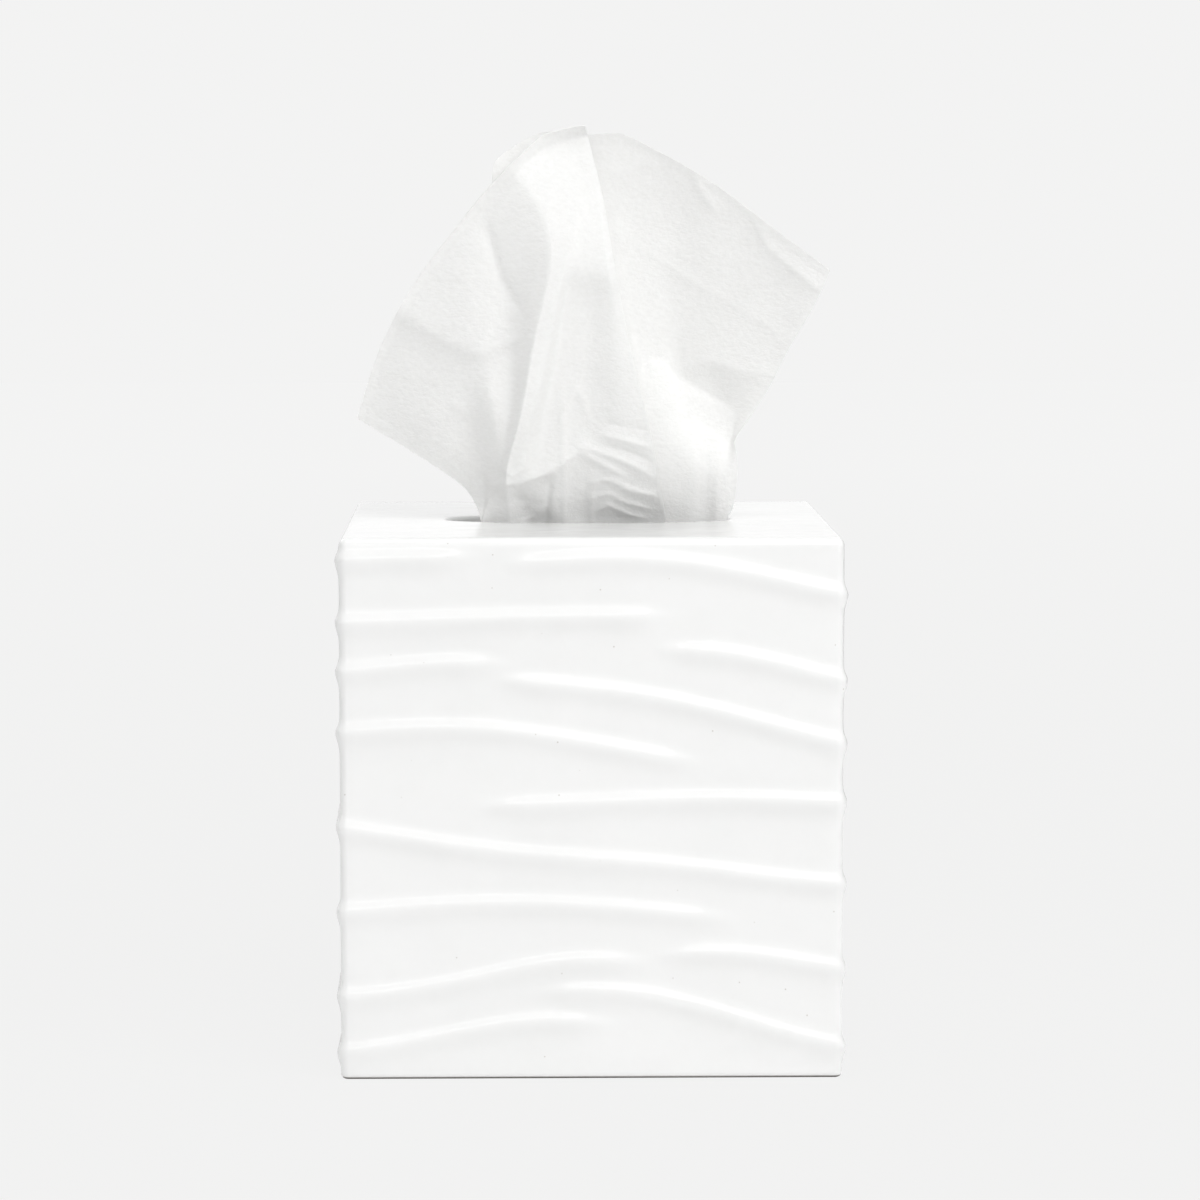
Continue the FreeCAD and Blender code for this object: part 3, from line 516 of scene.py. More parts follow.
def tissue_surface():
    """The sheet's middle surface as a grid, each column's place among the creases, and each row's mark."""
    pack_level = STACK_HIGH.z / MM + LEAF_MIDDLE + LEAF_TURNS[0]
    slit_level = FILM_LOW.z / MM
    marks = BELOW_MARKS + TISSUE_MARKS
    up = np.concatenate([
        np.linspace(marks[0], 0.0, TISSUE_BELOW, endpoint=False),
        np.linspace(0.0, FOOT_MARK, TISSUE_FOOT, endpoint=False),
        np.linspace(FOOT_MARK, 1.0, TISSUE_ABOVE),
    ])
    columns = []
    for points, _ in CREASES:
        x, y = points[0][:2]
        below = [(x * PACK_SPREAD[0], y * PACK_SPREAD[1], pack_level),
                 (x * SLIT_SPREAD[0], y * SLIT_SPREAD[1], slit_level)]
        columns.append(natural_spline(marks, below + points, up))
    columns = np.array(columns)
    # the grid's columns are spread by the room between two creases, at its widest and in the busy row
    room = np.linalg.norm(np.diff(columns, axis=0), axis=2)
    busy = room[:, -TISSUE_ABOVE - BUSY_ROW]
    spread = np.concatenate([[0], np.cumsum(0.5 * room.max(axis=1) + 0.5 * busy + LEAST_ROOM)])
    spread /= spread[-1]
    across = np.linspace(0, 1, TISSUE_COLUMNS)
    sharp = [sharpness for _, sharpness in CREASES]
    grid = np.array([hermite_through(spread, columns[:, row], across, sharp) for row in range(len(up))])
    number = np.interp(across, spread, np.arange(len(CREASES)))
    return grid, number, up


def folded_leaf(root):
    """The rest of the sheet as rows of points, from its other free edge to the root, where it rises.

    It lies on the pack, doubled across its width, and folded once more at the back.
    """
    share = np.linspace(0, 1, len(root))
    doubled = np.where(share < 0.5, -1 + 4 * share, 3 - 4 * share) * (STACK_HIGH.x / MM - LEAF_MARGIN)
    # the second half of the width lies outside the first
    outer = smooth_step((share - LEAF_FOLD[0]) / LEAF_FOLD[1])
    radius = LEAF_TURNS[0] + (LEAF_TURNS[1] - LEAF_TURNS[0]) * outer
    middle = STACK_HIGH.z / MM + LEAF_MIDDLE
    rows = []
    for y in np.linspace(LEAF_START, LEAF_REACH, 7):
        rows.append(np.column_stack([doubled, np.full_like(share, y), middle - radius]))
    for angle in np.radians([-60, -30, 0, 30, 60]):
        y, z = LEAF_REACH + radius * np.cos(angle), middle + radius * np.sin(angle)
        rows.append(np.column_stack([doubled, y, z]))
    # forward again over itself, and out of its doubled shape into the root's
    for step in np.linspace(1.0, 0.0, 9)[:-1]:
        opened = smooth_step(step / 0.9)
        lifted = LEAF_TURNS[0] + (radius - LEAF_TURNS[0]) * min(1.0, 3 * opened)
        x = root[:, 0] * (1 - opened) + doubled * opened
        y = root[:, 1] * (1 - step) + LEAF_REACH * step
        rows.append(np.column_stack([x, y, middle + lifted]))
    return np.array(rows)


def distance_to_line(x, z, line):
    """Distance to a polyline, which side of it each point is on, and how far along it, from 0 to 1."""
    line = np.asarray(line, float)
    lengths = np.linalg.norm(np.diff(line, axis=0), axis=1)
    starts = np.concatenate([[0], np.cumsum(lengths)])
    best, side, along = np.full(x.shape, 1e9), np.zeros(x.shape), np.zeros(x.shape)
    for number, (a, b) in enumerate(zip(line, line[1:])):
        d = (b - a) / lengths[number]
        t = (x - a[0]) * d[0] + (z - a[1]) * d[1]
        held = np.clip(t, 0, lengths[number])
        away = np.hypot(x - a[0] - held * d[0], z - a[1] - held * d[1])
        nearer = away < best
        best = np.where(nearer, away, best)
        side = np.where(nearer, np.sign((x - a[0]) * d[1] - (z - a[1]) * d[0]), side)
        along = np.where(nearer, (starts[number] + held) / starts[-1], along)
    return best, side, along


# Short sharp folds of the sheet's front layer and of its right panel, as lines (x, z) with how far each
# stands towards the front (negative: away), and the reach of its upper and of its lower flank.
FRONT_CRINKLES = [
    ([(-29.5, 154.6), (-19.3, 155.8), (-11.9, 158.0), (-4.5, 162.2)], 1.35, 3.0, 2.2),
    ([(-8.2, 159.0), (-5.8, 162.2), (-2.6, 164.2), (0.9, 168.8)], 0.75, 1.6, 2.2),
    ([(-4.4, 165.2), (0.8, 164.9), (6.7, 163.1), (12.5, 160.6), (20.5, 155.9)], 0.75, 0.9, 1.7),
    ([(-3.6, 165.0), (2.0, 162.0), (5.8, 160.0), (12.5, 156.0)], 0.65, 0.8, 1.4),
    ([(0.9, 152.8), (2.7, 157.4), (7.7, 160.8)], 0.4, 0.9, 1.2),
    ([(-0.6, 156.4), (6.7, 156.3), (11.3, 153.8), (21.8, 151.0)], 0.8, 0.9, 1.7),
    ([(-0.8, 150.6), (5.8, 152.6), (10.5, 150.0), (20.0, 147.4)], 0.6, 0.8, 1.4),
    ([(0.4, 146.6), (5.8, 149.3), (10.5, 147.0), (19.0, 144.6)], 0.65, 0.9, 1.4),
    ([(0.9, 160.7), (0.9, 140.7)], 0.5, 0.8, 1.0),
    ([(-7.4, 186.1), (-6.8, 165.9), (-6.5, 137.7)], 0.45, 0.9, 1.4),
    ([(-11.0, 150.0), (-15.0, 146.0), (-21.0, 143.5)], 0.5, 1.2, 1.4),
    ([(-26.0, 149.0), (-19.0, 151.4), (-11.0, 148.5)], -0.3, 1.6, 1.8),
    ([(-9.5, 160.5), (-10.8, 152.0), (-12.0, 138.0)], -1.1, 0.7, 3.0),
    ([(1.5, 169.4), (10.4, 167.5), (20.0, 164.8)], 0.6, 1.0, 1.7),
    ([(2.0, 173.2), (9.0, 171.4), (19.1, 169.9)], -0.35, 1.2, 1.4),
    ([(3.0, 166.6), (12.3, 163.9), (20.5, 160.2)], -0.4, 0.9, 0.9),
    ([(-23.4, 167.1), (-23.4, 159.9), (-21.2, 157.6), (-17.7, 159.8), (-16.2, 168.2)], 0.45, 1.0, 1.0),
    ([(-30.0, 233.0), (-25.6, 217.9), (-24.1, 212.3), (-21.2, 207.2), (-16.0, 200.0)], -0.9, 1.5, 2.4),
    ([(-37.5, 190.6), (-30.7, 191.2), (-24.5, 193.4), (-16.6, 197.0)], 0.75, 5.5, 1.3),
    ([(-24.7, 206.2), (-28.1, 198.6), (-31.6, 189.7)], 0.35, 2.2, 2.4),
    ([(-62.0, 208.2), (-47.4, 199.8), (-38.0, 194.3), (-26.4, 190.4)], 1.2, 11.0, 3.4),
    ([(-26.1, 186.7), (-29.6, 178.1), (-33.2, 175.2), (-40.4, 179.2)], 0.4, 2.4, 2.0),
    ([(-7.4, 170.2), (-6.0, 177.9), (-3.5, 181.9), (-1.0, 178.1), (0.5, 170.2)], 0.35, 1.5, 1.3),
]
RIGHT_CRINKLES = [
    ([(3.6, 227.4), (18.8, 217.9), (29.0, 211.3), (37.3, 206.7), (62.7, 191.5)], 0.2, 1.5, 1.5),
    ([(38.9, 227.9), (32.7, 217.0), (27.0, 206.0)], 0.14, 1.5, 1.5),
    ([(2.3, 241.8), (9.5, 241.0), (14.1, 244.0), (22.3, 243.7)], 0.3, 1.5, 1.5),
    ([(28.7, 243.3), (31.3, 236.5), (37.5, 228.7)], 0.4, 1.6, 1.2),
    ([(43.4, 233.7), (50.8, 220.2), (57.8, 214.3), (70.2, 204.1)], 0.55, 3.0, 1.8),
    ([(10.1, 178.9), (14.0, 185.8), (17.7, 189.9), (21.7, 189.0), (25.7, 184.0), (33.2, 179.6),
      (46.0, 172.7)], -1.2, 7.0, 2.2),
    ([(22.5, 185.4), (34.6, 188.9), (43.8, 185.9), (58.2, 184.5)], 0.6, 3.0, 3.4),
    ([(19.9, 172.9), (30.8, 172.2), (39.2, 166.8), (45.5, 162.8)], -0.4, 3.0, 3.0),
    ([(30.0, 168.0), (31.7, 156.8), (31.0, 138.0)], -0.15, 2.4, 2.4),
    ([(37.0, 166.0), (36.3, 155.8), (35.6, 138.0)], 0.2, 1.6, 2.2),
]
TAPER = 0.3             # the share of each line over which it rises from nothing at either end
PINCH = 1.2             # how the flanks fall away: 1 gives a sharp ridge, and 2 a round one
EDGE_HOLD = 0.25        # width, in creases, of the strip over which they fade out at the pleated edge


def wrinkle(grid, number):
    """Stand the crinkles proud of the sheet, towards the front or the back."""
    x, z = grid[:, :, 0], grid[:, :, 2]
    out = np.zeros_like(x)
    layers = ((FRONT_CRINKLES, number < PLEAT_EDGE - 0.1), (RIGHT_CRINKLES, number > RIGHT_PANEL - 0.4))
    for crinkles, layer in layers:
        for line, proud, upper, lower in crinkles:
            away, side, along = distance_to_line(x, z, line)
            reach = np.where(side < 0, upper, lower)
            ends = smooth_step(along / TAPER) * smooth_step((1 - along) / TAPER)
            out += proud * ends * np.exp(-((away / reach) ** PINCH)) * layer
    # nothing on the front layer reaches its pleated edge
    out *= np.where(number < PLEAT_EDGE, smooth_step((PLEAT_EDGE - number) / EDGE_HOLD), 1.0)
    grid[:, :, 1] -= out
    return grid


LATTICE = 256


def soft_noise(x, y, cell, seed):
    """Smooth noise between -1 and 1 over a plane, from a fixed, seeded lattice of values."""
    lattice = np.random.default_rng(seed).uniform(-1, 1, (LATTICE, LATTICE))
    u, v = x / cell + 100.0, y / cell + 100.0
    i, j = np.floor(u).astype(int), np.floor(v).astype(int)
    s, t = smooth_step(u - i), smooth_step(v - j)
    i, j = i % (LATTICE - 1), j % (LATTICE - 1)
    low = lattice[i, j] * (1 - s) + lattice[i + 1, j] * s
    high = lattice[i, j + 1] * (1 - s) + lattice[i + 1, j + 1] * s
    return low * (1 - t) + high * t


RIM_WIDTH = 2.9         # the strip along the free edge that stands up from the sheet, the bend under it,
RIM_BEND = 0.7          # and how far to the front it leans at each crease
RIM_LEAN = [0.15, 0.2, 0.25, 0.4, 0.75, 1.15, 1.3, 1.3, 1.3, 1.3, 1.2, 0.1, 0.1, 0.1, 0.1, 0.1, 0.1]
CRUMPLES = [(13.0, 0.16, 3), (6.0, 0.07, 5), (2.8, 0.02, 8)]     # cell, height and seed of the small creases
LAYER_SHIFT = 300.0     # that gives the sheet's two layers creases of their own


def crumple(grid, number, up):
    """Curl the free edge and give the whole sheet its small irregular creases."""
    rise = np.cumsum(np.linalg.norm(np.diff(grid, axis=0, prepend=grid[:1]), axis=2), axis=0)
    x, z = grid[:, :, 0] + np.where(number < PLEAT_EDGE, 0.0, LAYER_SHIFT), grid[:, :, 2]
    out = np.zeros_like(rise)
    for cell, height, seed in CRUMPLES:
        # along leaning axes, so that no crease runs level or upright
        out += height * soft_noise(x * 0.9 + z * 0.3, z * 0.8 - x * 0.35, cell, seed)
    # they come in at the mouth
    out *= smooth_step((up + 0.05) / 0.1)[:, None]
    left = rise[-1:] - rise
    past = np.maximum(RIM_WIDTH - left, 0.0)
    curl = np.where(past < RIM_BEND, past**2 / (2 * RIM_BEND), past - RIM_BEND / 2)
    curl *= np.interp(number, np.arange(len(RIM_LEAN)), RIM_LEAN)
    grid[:, :, 1] -= out + curl
    return grid


def closed_sheet(name, grid, thickness, material):
    """A closed skin of a given thickness round a grid of points, its front on the grid's own normals."""
    rows, columns = grid.shape[:2]
    normal = np.cross(np.gradient(grid, axis=1), np.gradient(grid, axis=0))
    step = normal / np.maximum(np.linalg.norm(normal, axis=2, keepdims=True), 1e-9) * thickness / 2
    points = np.concatenate([(grid + step).reshape(-1, 3), (grid - step).reshape(-1, 3)])
    half = rows * columns
    faces = grid_faces(rows, columns)
    faces += [tuple(half + corner for corner in reversed(face)) for face in faces]
    index = np.arange(half).reshape(rows, columns)
    rim = np.concatenate([index[0], index[1:, -1], index[-1, -2::-1], index[-2:0:-1, 0]]).tolist()
    for here, after in zip(rim, rim[1:] + rim[:1]):
        faces.append((here, half + here, half + after, after))
    piece = mesh_piece(name, points, faces, material)
    # the cut edge is crisp: it takes no shade from the faces beside it
    on_rim = np.zeros(2 * half, bool)
    on_rim[rim + [half + corner for corner in rim]] = True
    ends = np.zeros(2 * len(piece.data.edges), np.int32)
    piece.data.edges.foreach_get("vertices", ends)
    ends = ends.reshape(-1, 2)
    crisp = on_rim[ends].all(axis=1) & ((ends[:, 0] < half) == (ends[:, 1] < half))
    piece.data.edges.foreach_set("use_edge_sharp", crisp)
    return piece


def tissue_material(group):
    """Soft, matt, slightly see-through paper with a fine grain."""
    material, tree = new_material("tissue_paper")
    tone, height = place_fibres(tree, group, (1.0, 0.5, 1.5), 620.0,
                                (0.98, 0.98, 0.972, 1), (0.935, 0.935, 0.925, 1))
    patches = noise(tree, object_coordinates(tree, (1.0, 0.4, 1.6)), 70.0, 4.0, 0.6)
    grain = bump(tree, patches, 0.5, 0.0009, Normal=bump(tree, height, 0.8, 0.0003))
    paper = result(tree, "ShaderNodeBsdfPrincipled", Base_Color=tone, Roughness=0.95,
                   Specular_IOR_Level=0.15, Normal=grain)
    through = result(tree, "ShaderNodeBsdfTranslucent", Color=(0.95, 0.95, 0.94, 1))
    both = result(tree, "ShaderNodeMixShader", 0.25, paper, through)
    return surfaced(material, both)


# The sheet is two plies thick. Beside the apex the rear ply slips out past the front one's free edge. Each
# entry is a point (x, y, z) behind the front ply, and the point of the rear ply's own edge beyond it.
SLIPPED_PLY = [
    ((-25.0, -5.2, 236.0), (-26.4, -6.4, 238.6)), ((-22.0, -4.4, 239.4), (-26.0, -5.4, 243.4)),
    ((-18.8, -3.2, 243.0), (-23.4, -3.8, 246.4)), ((-14.4, -1.8, 246.2), (-19.0, -2.4, 249.4)),
    ((-10.0, -0.7, 248.6), (-13.6, -1.0, 252.0)), ((-6.0, -0.5, 250.0), (-7.6, -0.6, 252.9)),
]
PLY_ROWS = 9
PLY_COLUMNS = 41


def slipped_ply():
    """A narrow strip of the rear ply as a grid of points."""
    marks = range(len(SLIPPED_PLY))
    rows = []
    for step in np.linspace(0, 1, PLY_ROWS):
        line = [np.array(a) * (1 - step) + np.array(b) * step for a, b in SLIPPED_PLY]
        rows.append(natural_spline(marks, line, np.linspace(0, marks[-1], PLY_COLUMNS)))
    return np.array(rows)


def raised_tissue(material):
    grid, number, up = tissue_surface()
    grid = crumple(wrinkle(grid, number), number, up)
    grid = np.concatenate([folded_leaf(grid[0]), grid])
    sheet = closed_sheet("tissue", grid, TISSUE_THICKNESS, material)
    ply = closed_sheet("ply", slipped_ply(), TISSUE_THICKNESS / 2, material)
    joined = bmesh.new()
    joined.from_mesh(sheet.data)
    joined.from_mesh(ply.data)
    joined.to_mesh(sheet.data)
    joined.free()
    bpy.data.objects.remove(ply)
    return sheet


# -------- slit film, pack and carton

FILM_THICKNESS = 0.12
SLIT_LENGTH = 86.0
SLIT_WIDTH = 18.0
SLIT_END_RADIUS = 5.0
WAVES = (0.10, 7.0, 5.0)        # height of the flat film's soft waves, and their lengths in x and y
LIP_START = 1.6         # where the slit's lips start to bend, outside its edge,
LIP_END = 1.2           # and how far they lean in past it
LIP_TURN = math.radians(72)
LIP_RISE = 7.0          # how high the raised sheet bends them up
LIP_SPREAD = 2.2        # how soon that rise is reached from the slit's ends: higher is sooner
LIP_LEFT = 0.4          # share of the lips' lean that is left at the slit's ends
RUFFLE = (0.25, 3.1)    # height and length of the small waves of the lips' edge
FILM_POINTS = 144       # of each ring
FLAT_RINGS = 9
LIP_RINGS = 6
PACK_SHEETS = 56        # folded sheets that show at the pack's sides
PACK_MARGIN = 0.0005    # metres, from the pack's box to the sheets, which lie unevenly
FOLD_ROUNDNESS = 0.49   # share of a folded sheet's thickness


def rectangle_outline(shares, half_length, half_width):
    """Points of a rectangle, at shares of the way round from the front middle."""
    corners = np.array([(0, -1), (1, -1), (1, 1), (-1, 1), (-1, -1), (0, -1)]) * (half_length, half_width)
    marks = np.concatenate([[0], np.cumsum(np.linalg.norm(np.diff(corners, axis=0), axis=1))])
    return np.column_stack([np.interp(shares * marks[-1], marks, column) for column in corners.T])


def slit_film(material):
    """The clear film under the carton's top, with its slit's lips bent up by the raised sheet."""
    shares = np.arange(FILM_POINTS) / FILM_POINTS
    level = (FILM_LOW.z + FILM_HIGH.z) / 2 / MM
    outer = rectangle_outline(shares, FILM_HIGH.x / MM, FILM_HIGH.y / MM)
    slit, outward = oval_outline(shares, SLIT_LENGTH, SLIT_WIDTH, SLIT_END_RADIUS)
    bent = smooth_step((1 - np.abs(slit[:, 0]) / (SLIT_LENGTH / 2)) * LIP_SPREAD)
    rings = []
    for share in np.linspace(0, 1, FLAT_RINGS):
        place = outer * (1 - share) + (slit + outward * LIP_START) * share
        wave = WAVES[0] * np.sin(place[:, 0] / WAVES[1] + place[:, 1] / WAVES[2]) * smooth_step(share / 0.4)
        rings.append(np.column_stack([place, level + wave - WAVES[0]]))
    for share in np.linspace(0.2, 1, LIP_RINGS):
        ruffle = RUFFLE[0] * np.sin(slit[:, 0] / RUFFLE[1]) * share
        lean = (LIP_START * (1 - share) - LIP_END * share + ruffle) * (LIP_LEFT + (1 - LIP_LEFT) * bent)
        height = level + LIP_RISE * bent * (1 - math.cos(share * LIP_TURN)) / (1 - math.cos(LIP_TURN))
        rings.append(np.column_stack([slit + outward * lean[:, None], height]))
    faces = [tuple(reversed(face)) for face in grid_faces(len(rings), FILM_POINTS, close_columns=True)]
    film = mesh_piece("film", np.concatenate(rings), faces, material)
    solidify = film.modifiers.new("thickness", "SOLIDIFY")
    solidify.thickness = FILM_THICKNESS * MM
    solidify.offset = 0.0
    return made_plain(film)


def made_plain(piece):
    """The piece with its modifiers turned into a plain mesh."""
    bpy.context.view_layer.update()
    evaluated = piece.evaluated_get(bpy.context.evaluated_depsgraph_get())
    mesh = bpy.data.meshes.new_from_object(evaluated)
    piece.modifiers.clear()
    piece.data = mesh
    return piece


def pack_nodes():
    """A tree that piles folded sheets: each a flat loop of paper, laid a little unevenly on the one below."""
    tree = bpy.data.node_groups.new("folded_pack", "GeometryNodeTree")
    given = add_inputs(tree, [
        ("Width", "Float", 0.105), ("Depth", "Float", 0.105), ("Height", "Float", 0.112),
        ("Sheets", "Int", PACK_SHEETS), ("Looseness", "Float", 0.9), ("Unevenness", "Float", 0.0004),
        ("Paper", "Material", None),
    ])
    pitch = math_node(tree, "DIVIDE", given["Height"], given["Sheets"])
    thick = math_node(tree, "MULTIPLY", pitch, given["Looseness"])
    # one sheet: a flat loop with rounded folds, drawn along the pack's width
    left, right = [result(tree, "ShaderNodeCombineXYZ", X=math_node(tree, "MULTIPLY", given["Width"], side))
                   for side in (-0.5, 0.5)]
    path = result(tree, "GeometryNodeCurvePrimitiveLine", Start=left, End=right)
    loop = result(tree, "GeometryNodeCurvePrimitiveQuadrilateral", Width=given["Depth"], Height=thick)
    folded = result(tree, "GeometryNodeFilletCurve", mode="POLY", Curve=loop, Count=4,
                    Radius=math_node(tree, "MULTIPLY", thick, FOLD_ROUNDNESS))
    sheet = result(tree, "GeometryNodeCurveToMesh", Curve=path, Profile_Curve=folded, Fill_Caps=True)
    # the pile: one point for each sheet, each shifted a little
    first = result(tree, "ShaderNodeCombineXYZ", Z=math_node(tree, "MULTIPLY", pitch, 0.5))
    rise = result(tree, "ShaderNodeCombineXYZ", Z=pitch)
    pile = result(tree, "GeometryNodeMeshLine", Count=given["Sheets"], Start_Location=first, Offset=rise)
    uneven = result(tree, "FunctionNodeRandomValue", data_type="FLOAT_VECTOR", Seed=7,
                    Min=(-1.0, -1.0, 0.0), Max=(1.0, 1.0, 0.0))
    shift = result(tree, "ShaderNodeVectorMath", uneven, operation="SCALE", Scale=given["Unevenness"])
    pile = result(tree, "GeometryNodeSetPosition", Geometry=pile, Offset=shift)
    laid = result(tree, "GeometryNodeInstanceOnPoints", Points=pile, Instance=sheet)
    real = result(tree, "GeometryNodeRealizeInstances", Geometry=laid)
    pack = result(tree, "GeometryNodeSetMaterial", Geometry=real, Material=given["Paper"])
    add_outputs(tree, [("Geometry", "Geometry", pack)])
    return tree


def folded_pack(material):
    pack = add_object("pack", bpy.data.meshes.new("pack"))
    tree = pack_nodes()
    modifier = pack.modifiers.new("pile", "NODES")
    modifier.node_group = tree
    sockets = {item.name: item.identifier for item in tree.interface.items_tree if item.in_out == "INPUT"}
    modifier[sockets["Width"]] = STACK_HIGH.x - STACK_LOW.x - 2 * PACK_MARGIN
    modifier[sockets["Depth"]] = STACK_HIGH.y - STACK_LOW.y - 2 * PACK_MARGIN
    modifier[sockets["Height"]] = STACK_HIGH.z - STACK_LOW.z
    modifier[sockets["Paper"]] = material
    made_plain(pack)
    pack.data.transform(Matrix.Translation((0.0, 0.0, STACK_LOW.z)))
    return pack


def fibre_group():
    """Paper fibres: a mottled tone and a crinkled height, for every paper and board of the object."""
    tree = bpy.data.node_groups.new("paper_fibres", "ShaderNodeTree")
    given = add_inputs(tree, [
        ("Vector", "Vector", None), ("Scale", "Float", 300.0),
        ("Light", "Color", (0.97, 0.97, 0.96, 1)), ("Dark", "Color", (0.90, 0.90, 0.88, 1)),
    ])
    height = noise(tree, given["Vector"], given["Scale"], 4.0, 0.65)
    share = map_range(tree, height, From_Min=0.35, From_Max=0.65)
    tone = mixed(tree, "RGBA", share, given["Dark"], given["Light"])
    add_outputs(tree, [("Color", "Color", tone), ("Height", "Float", height)])
    return tree


def place_fibres(tree, group, stretch, scale, light, dark):
    """The fibres' tone and height in a material."""
    fibres = add_node(tree, "ShaderNodeGroup", node_tree=group, Scale=scale, Light=light, Dark=dark,
                      Vector=object_coordinates(tree, stretch))
    return fibres.outputs["Color"], fibres.outputs["Height"]


def fibre_material(name, group, stretch, scale, light, dark, relief, **looks):
    """Paper or board with nothing but its fibres."""
    material, tree = new_material(name)
    tone, height = place_fibres(tree, group, stretch, scale, light, dark)
    paper = result(tree, "ShaderNodeBsdfPrincipled", Base_Color=tone, Normal=bump(tree, height, *relief),
                   **looks)
    return surfaced(material, paper)


def board_material(group):
    return fibre_material("carton_board", group, (1.0, 1.0, 0.35), 260.0, (0.86, 0.85, 0.82, 1),
                          (0.78, 0.765, 0.73, 1), (0.4, 0.0001), Roughness=0.62, IOR=1.45)


def pack_material(group):
    return fibre_material("packed_tissue", group, (1.0, 1.0, 2.5), 420.0, (0.97, 0.97, 0.96, 1),
                          (0.90, 0.90, 0.885, 1), (0.6, 0.0002), Roughness=0.95, Specular_IOR_Level=0.15)


def film_material():
    """Clear, slightly wrinkled film."""
    material, tree = new_material("clear_film")
    ripple = noise(tree, object_coordinates(tree, (1.0, 2.2, 1.0)), 140.0, 2.0, 0.45)
    film = result(
        tree, "ShaderNodeBsdfPrincipled", Base_Color=(0.93, 0.95, 0.96, 1), IOR=1.5,
        Alpha=map_range(tree, ripple, To_Min=0.22, To_Max=0.42),
        Roughness=map_range(tree, ripple, To_Min=0.08, To_Max=0.22),
        Normal=bump(tree, ripple, 0.5, 0.0003),
    )
    return surfaced(material, film)


# -------- camera, stage and light

CAMERA_PLACE = (-0.02003, -1.19816, 0.23786)
CAMERA_TURN = (90 - 5.517, 0.0, -1.123)     # degrees
CAMERA_LENS = 128.9
WHITE = (1.0, 1.0, 1.0, 1)
BLACK = (0.0, 0.0, 0.0, 1)
BACKDROP = (0.896, 0.896, 0.893, 1)
FLOOR_REACH = 4000.0
# The black card, in millimetres: its place beside the object, its front and back edges and its height.
CARD_SIDE, CARD_FRONT, CARD_BACK, CARD_HEIGHT = 400.0, -150.0, 1000.0, 450.0
# Each softbox: its place, the point that it is aimed at, its width and its height, in metres, and its watts.
SOFTBOXES = {
    "key_softbox": ((0.70, -0.98, 1.20), (0.0, 0.0, 0.14), 1.4, 0.8, 12.0),
    "front_strip": ((0.0, -1.50, 0.72), (0.0, 0.0, 0.10), 1.2, 0.06, 1.8),
    "back_softbox": ((-0.95, 0.85, 1.10), (0.0, 0.0, 0.12), 1.2, 0.5, 3.2),
    "top_softbox": ((0.0, -0.25, 1.30), (0.0, 0.0, 0.14), 0.9, 0.35, 2.6),
}


def add_camera():
    data = bpy.data.cameras.new("camera")
    data.lens = CAMERA_LENS
    data.sensor_width = 36.0
    data.clip_start = 0.05
    data.clip_end = 30.0
    camera = add_object("camera", data)
    camera.location = CAMERA_PLACE
    camera.rotation_euler = [math.radians(turn) for turn in CAMERA_TURN]
    bpy.context.scene.camera = camera


def add_softbox(name, place, aim, width, height, watts):
    """A rectangular softbox, turned to face the point that it is aimed at."""
    data = bpy.data.lights.new(name, "AREA")
    data.shape = "RECTANGLE"
    data.size = width
    data.size_y = height
    data.energy = watts
    lamp = add_object(name, data)
    lamp.location = place
    lamp.rotation_euler = (Vector(aim) - Vector(place)).to_track_quat("-Z", "Y").to_euler()


def add_world():
    """A soft white light all round, a pale backdrop for the camera, and plain white for the gloss."""
    world = bpy.data.worlds.new("world")
    bpy.context.scene.world = world
    world.use_nodes = True
    tree = world.node_tree
    tree.nodes.clear()
    ray = add_node(tree, "ShaderNodeLightPath").outputs
    light, mirrored, seen = [result(tree, "ShaderNodeBackground", Color=color, Strength=strength)
                             for color, strength in ((WHITE, 0.53), (WHITE, 1.0), (BACKDROP, 1.0))]
    unseen = result(tree, "ShaderNodeMixShader", ray["Is Glossy Ray"], light, mirrored)
    sky = result(tree, "ShaderNodeMixShader", ray["Is Camera Ray"], unseen, seen)
    add_node(tree, "ShaderNodeOutputWorld", Surface=sky)


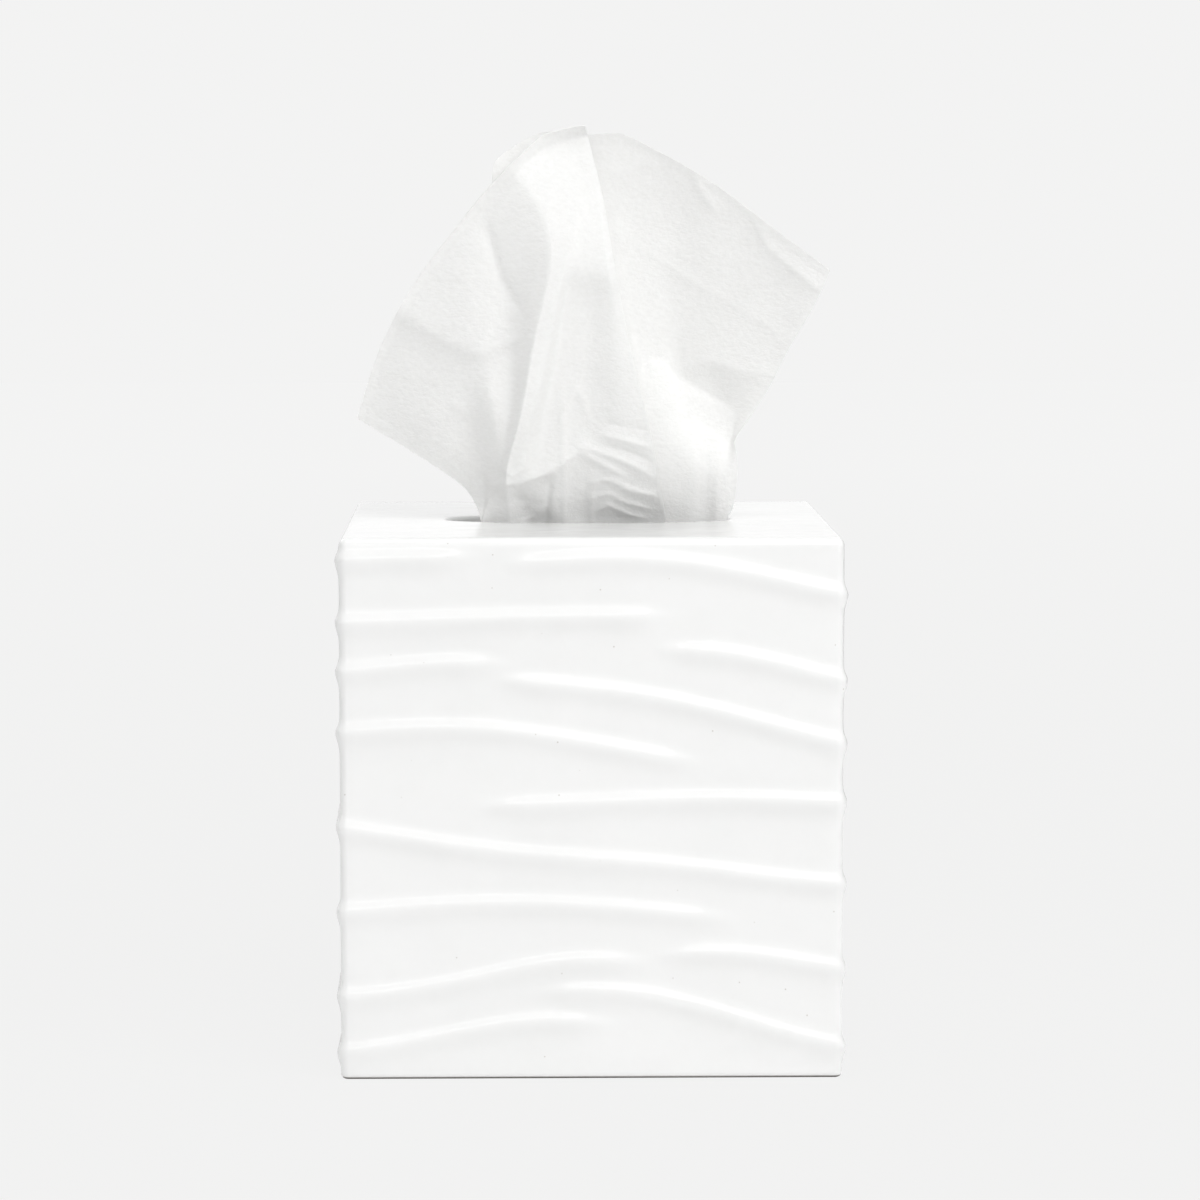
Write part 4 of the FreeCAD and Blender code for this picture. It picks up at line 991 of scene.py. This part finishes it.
def floor_material():
    """Mostly the floor's own pale tone, and enough of a lit surface to keep the object's shadow."""
    material, tree = new_material("pale_floor")
    away = add_node(tree, "ShaderNodeVectorMath", object_coordinates(tree), operation="LENGTH")
    strength = map_range(tree, away.outputs["Value"], From_Min=0.3, From_Max=2.4, To_Min=0.945, To_Max=0.980)
    own = result(tree, "ShaderNodeEmission", Color=BACKDROP, Strength=strength)
    lit = result(tree, "ShaderNodeBsdfDiffuse", Color=(0.038, 0.038, 0.038, 1))
    shadowed = result(tree, "ShaderNodeAddShader", own, lit)
    # the light that the floor throws back at the object is a plain pale surface's
    plain = result(tree, "ShaderNodeBsdfDiffuse", Color=(0.92, 0.92, 0.92, 1))
    ray = add_node(tree, "ShaderNodeLightPath").outputs
    floor = result(tree, "ShaderNodeMixShader", ray["Is Camera Ray"], plain, shadowed)
    return surfaced(material, floor)


def add_edge_card():
    """A black card that is seen only in gloss, so that the edge of a pale object shows a dark line."""
    material, tree = new_material("edge_card")
    surfaced(material, result(tree, "ShaderNodeBsdfDiffuse", Color=BLACK))
    corners = [(CARD_SIDE, CARD_FRONT, 0), (CARD_SIDE, CARD_BACK, 0),
               (CARD_SIDE, CARD_BACK, CARD_HEIGHT), (CARD_SIDE, CARD_FRONT, CARD_HEIGHT)]
    card = mesh_piece("edge_card", corners, [(0, 1, 2, 3)], material, smooth=False)
    for ray in ("camera", "diffuse", "transmission", "shadow"):
        setattr(card, "visible_" + ray, False)


def add_stage():
    bpy.context.scene.view_settings.view_transform = "Standard"
    add_world()
    corners = [(x * FLOOR_REACH, y * FLOOR_REACH, 0) for x, y in ((-1, -1), (1, -1), (1, 1), (-1, 1))]
    mesh_piece("floor", corners, [(0, 1, 2, 3)], floor_material(), smooth=False)
    add_edge_card()
    for name, softbox in SOFTBOXES.items():
        add_softbox(name, *softbox)


# -------- build

add_camera()
add_stage()
fibres = fibre_group()

cover = glazed_cover(glaze_material())
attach(cover, "root")
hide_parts("holder")

tissue = raised_tissue(tissue_material(fibres))
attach(tissue, "root")
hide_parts("raised_tissue")

film = slit_film(film_material())
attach(film, "root")
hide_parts("slit_film")

pack = folded_pack(pack_material(fibres))
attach(pack, "root")
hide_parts("tissue_stack")

carton = bpy.data.objects["carton"]
board = board_material(fibres)
for slot in carton.material_slots:
    slot.material = board
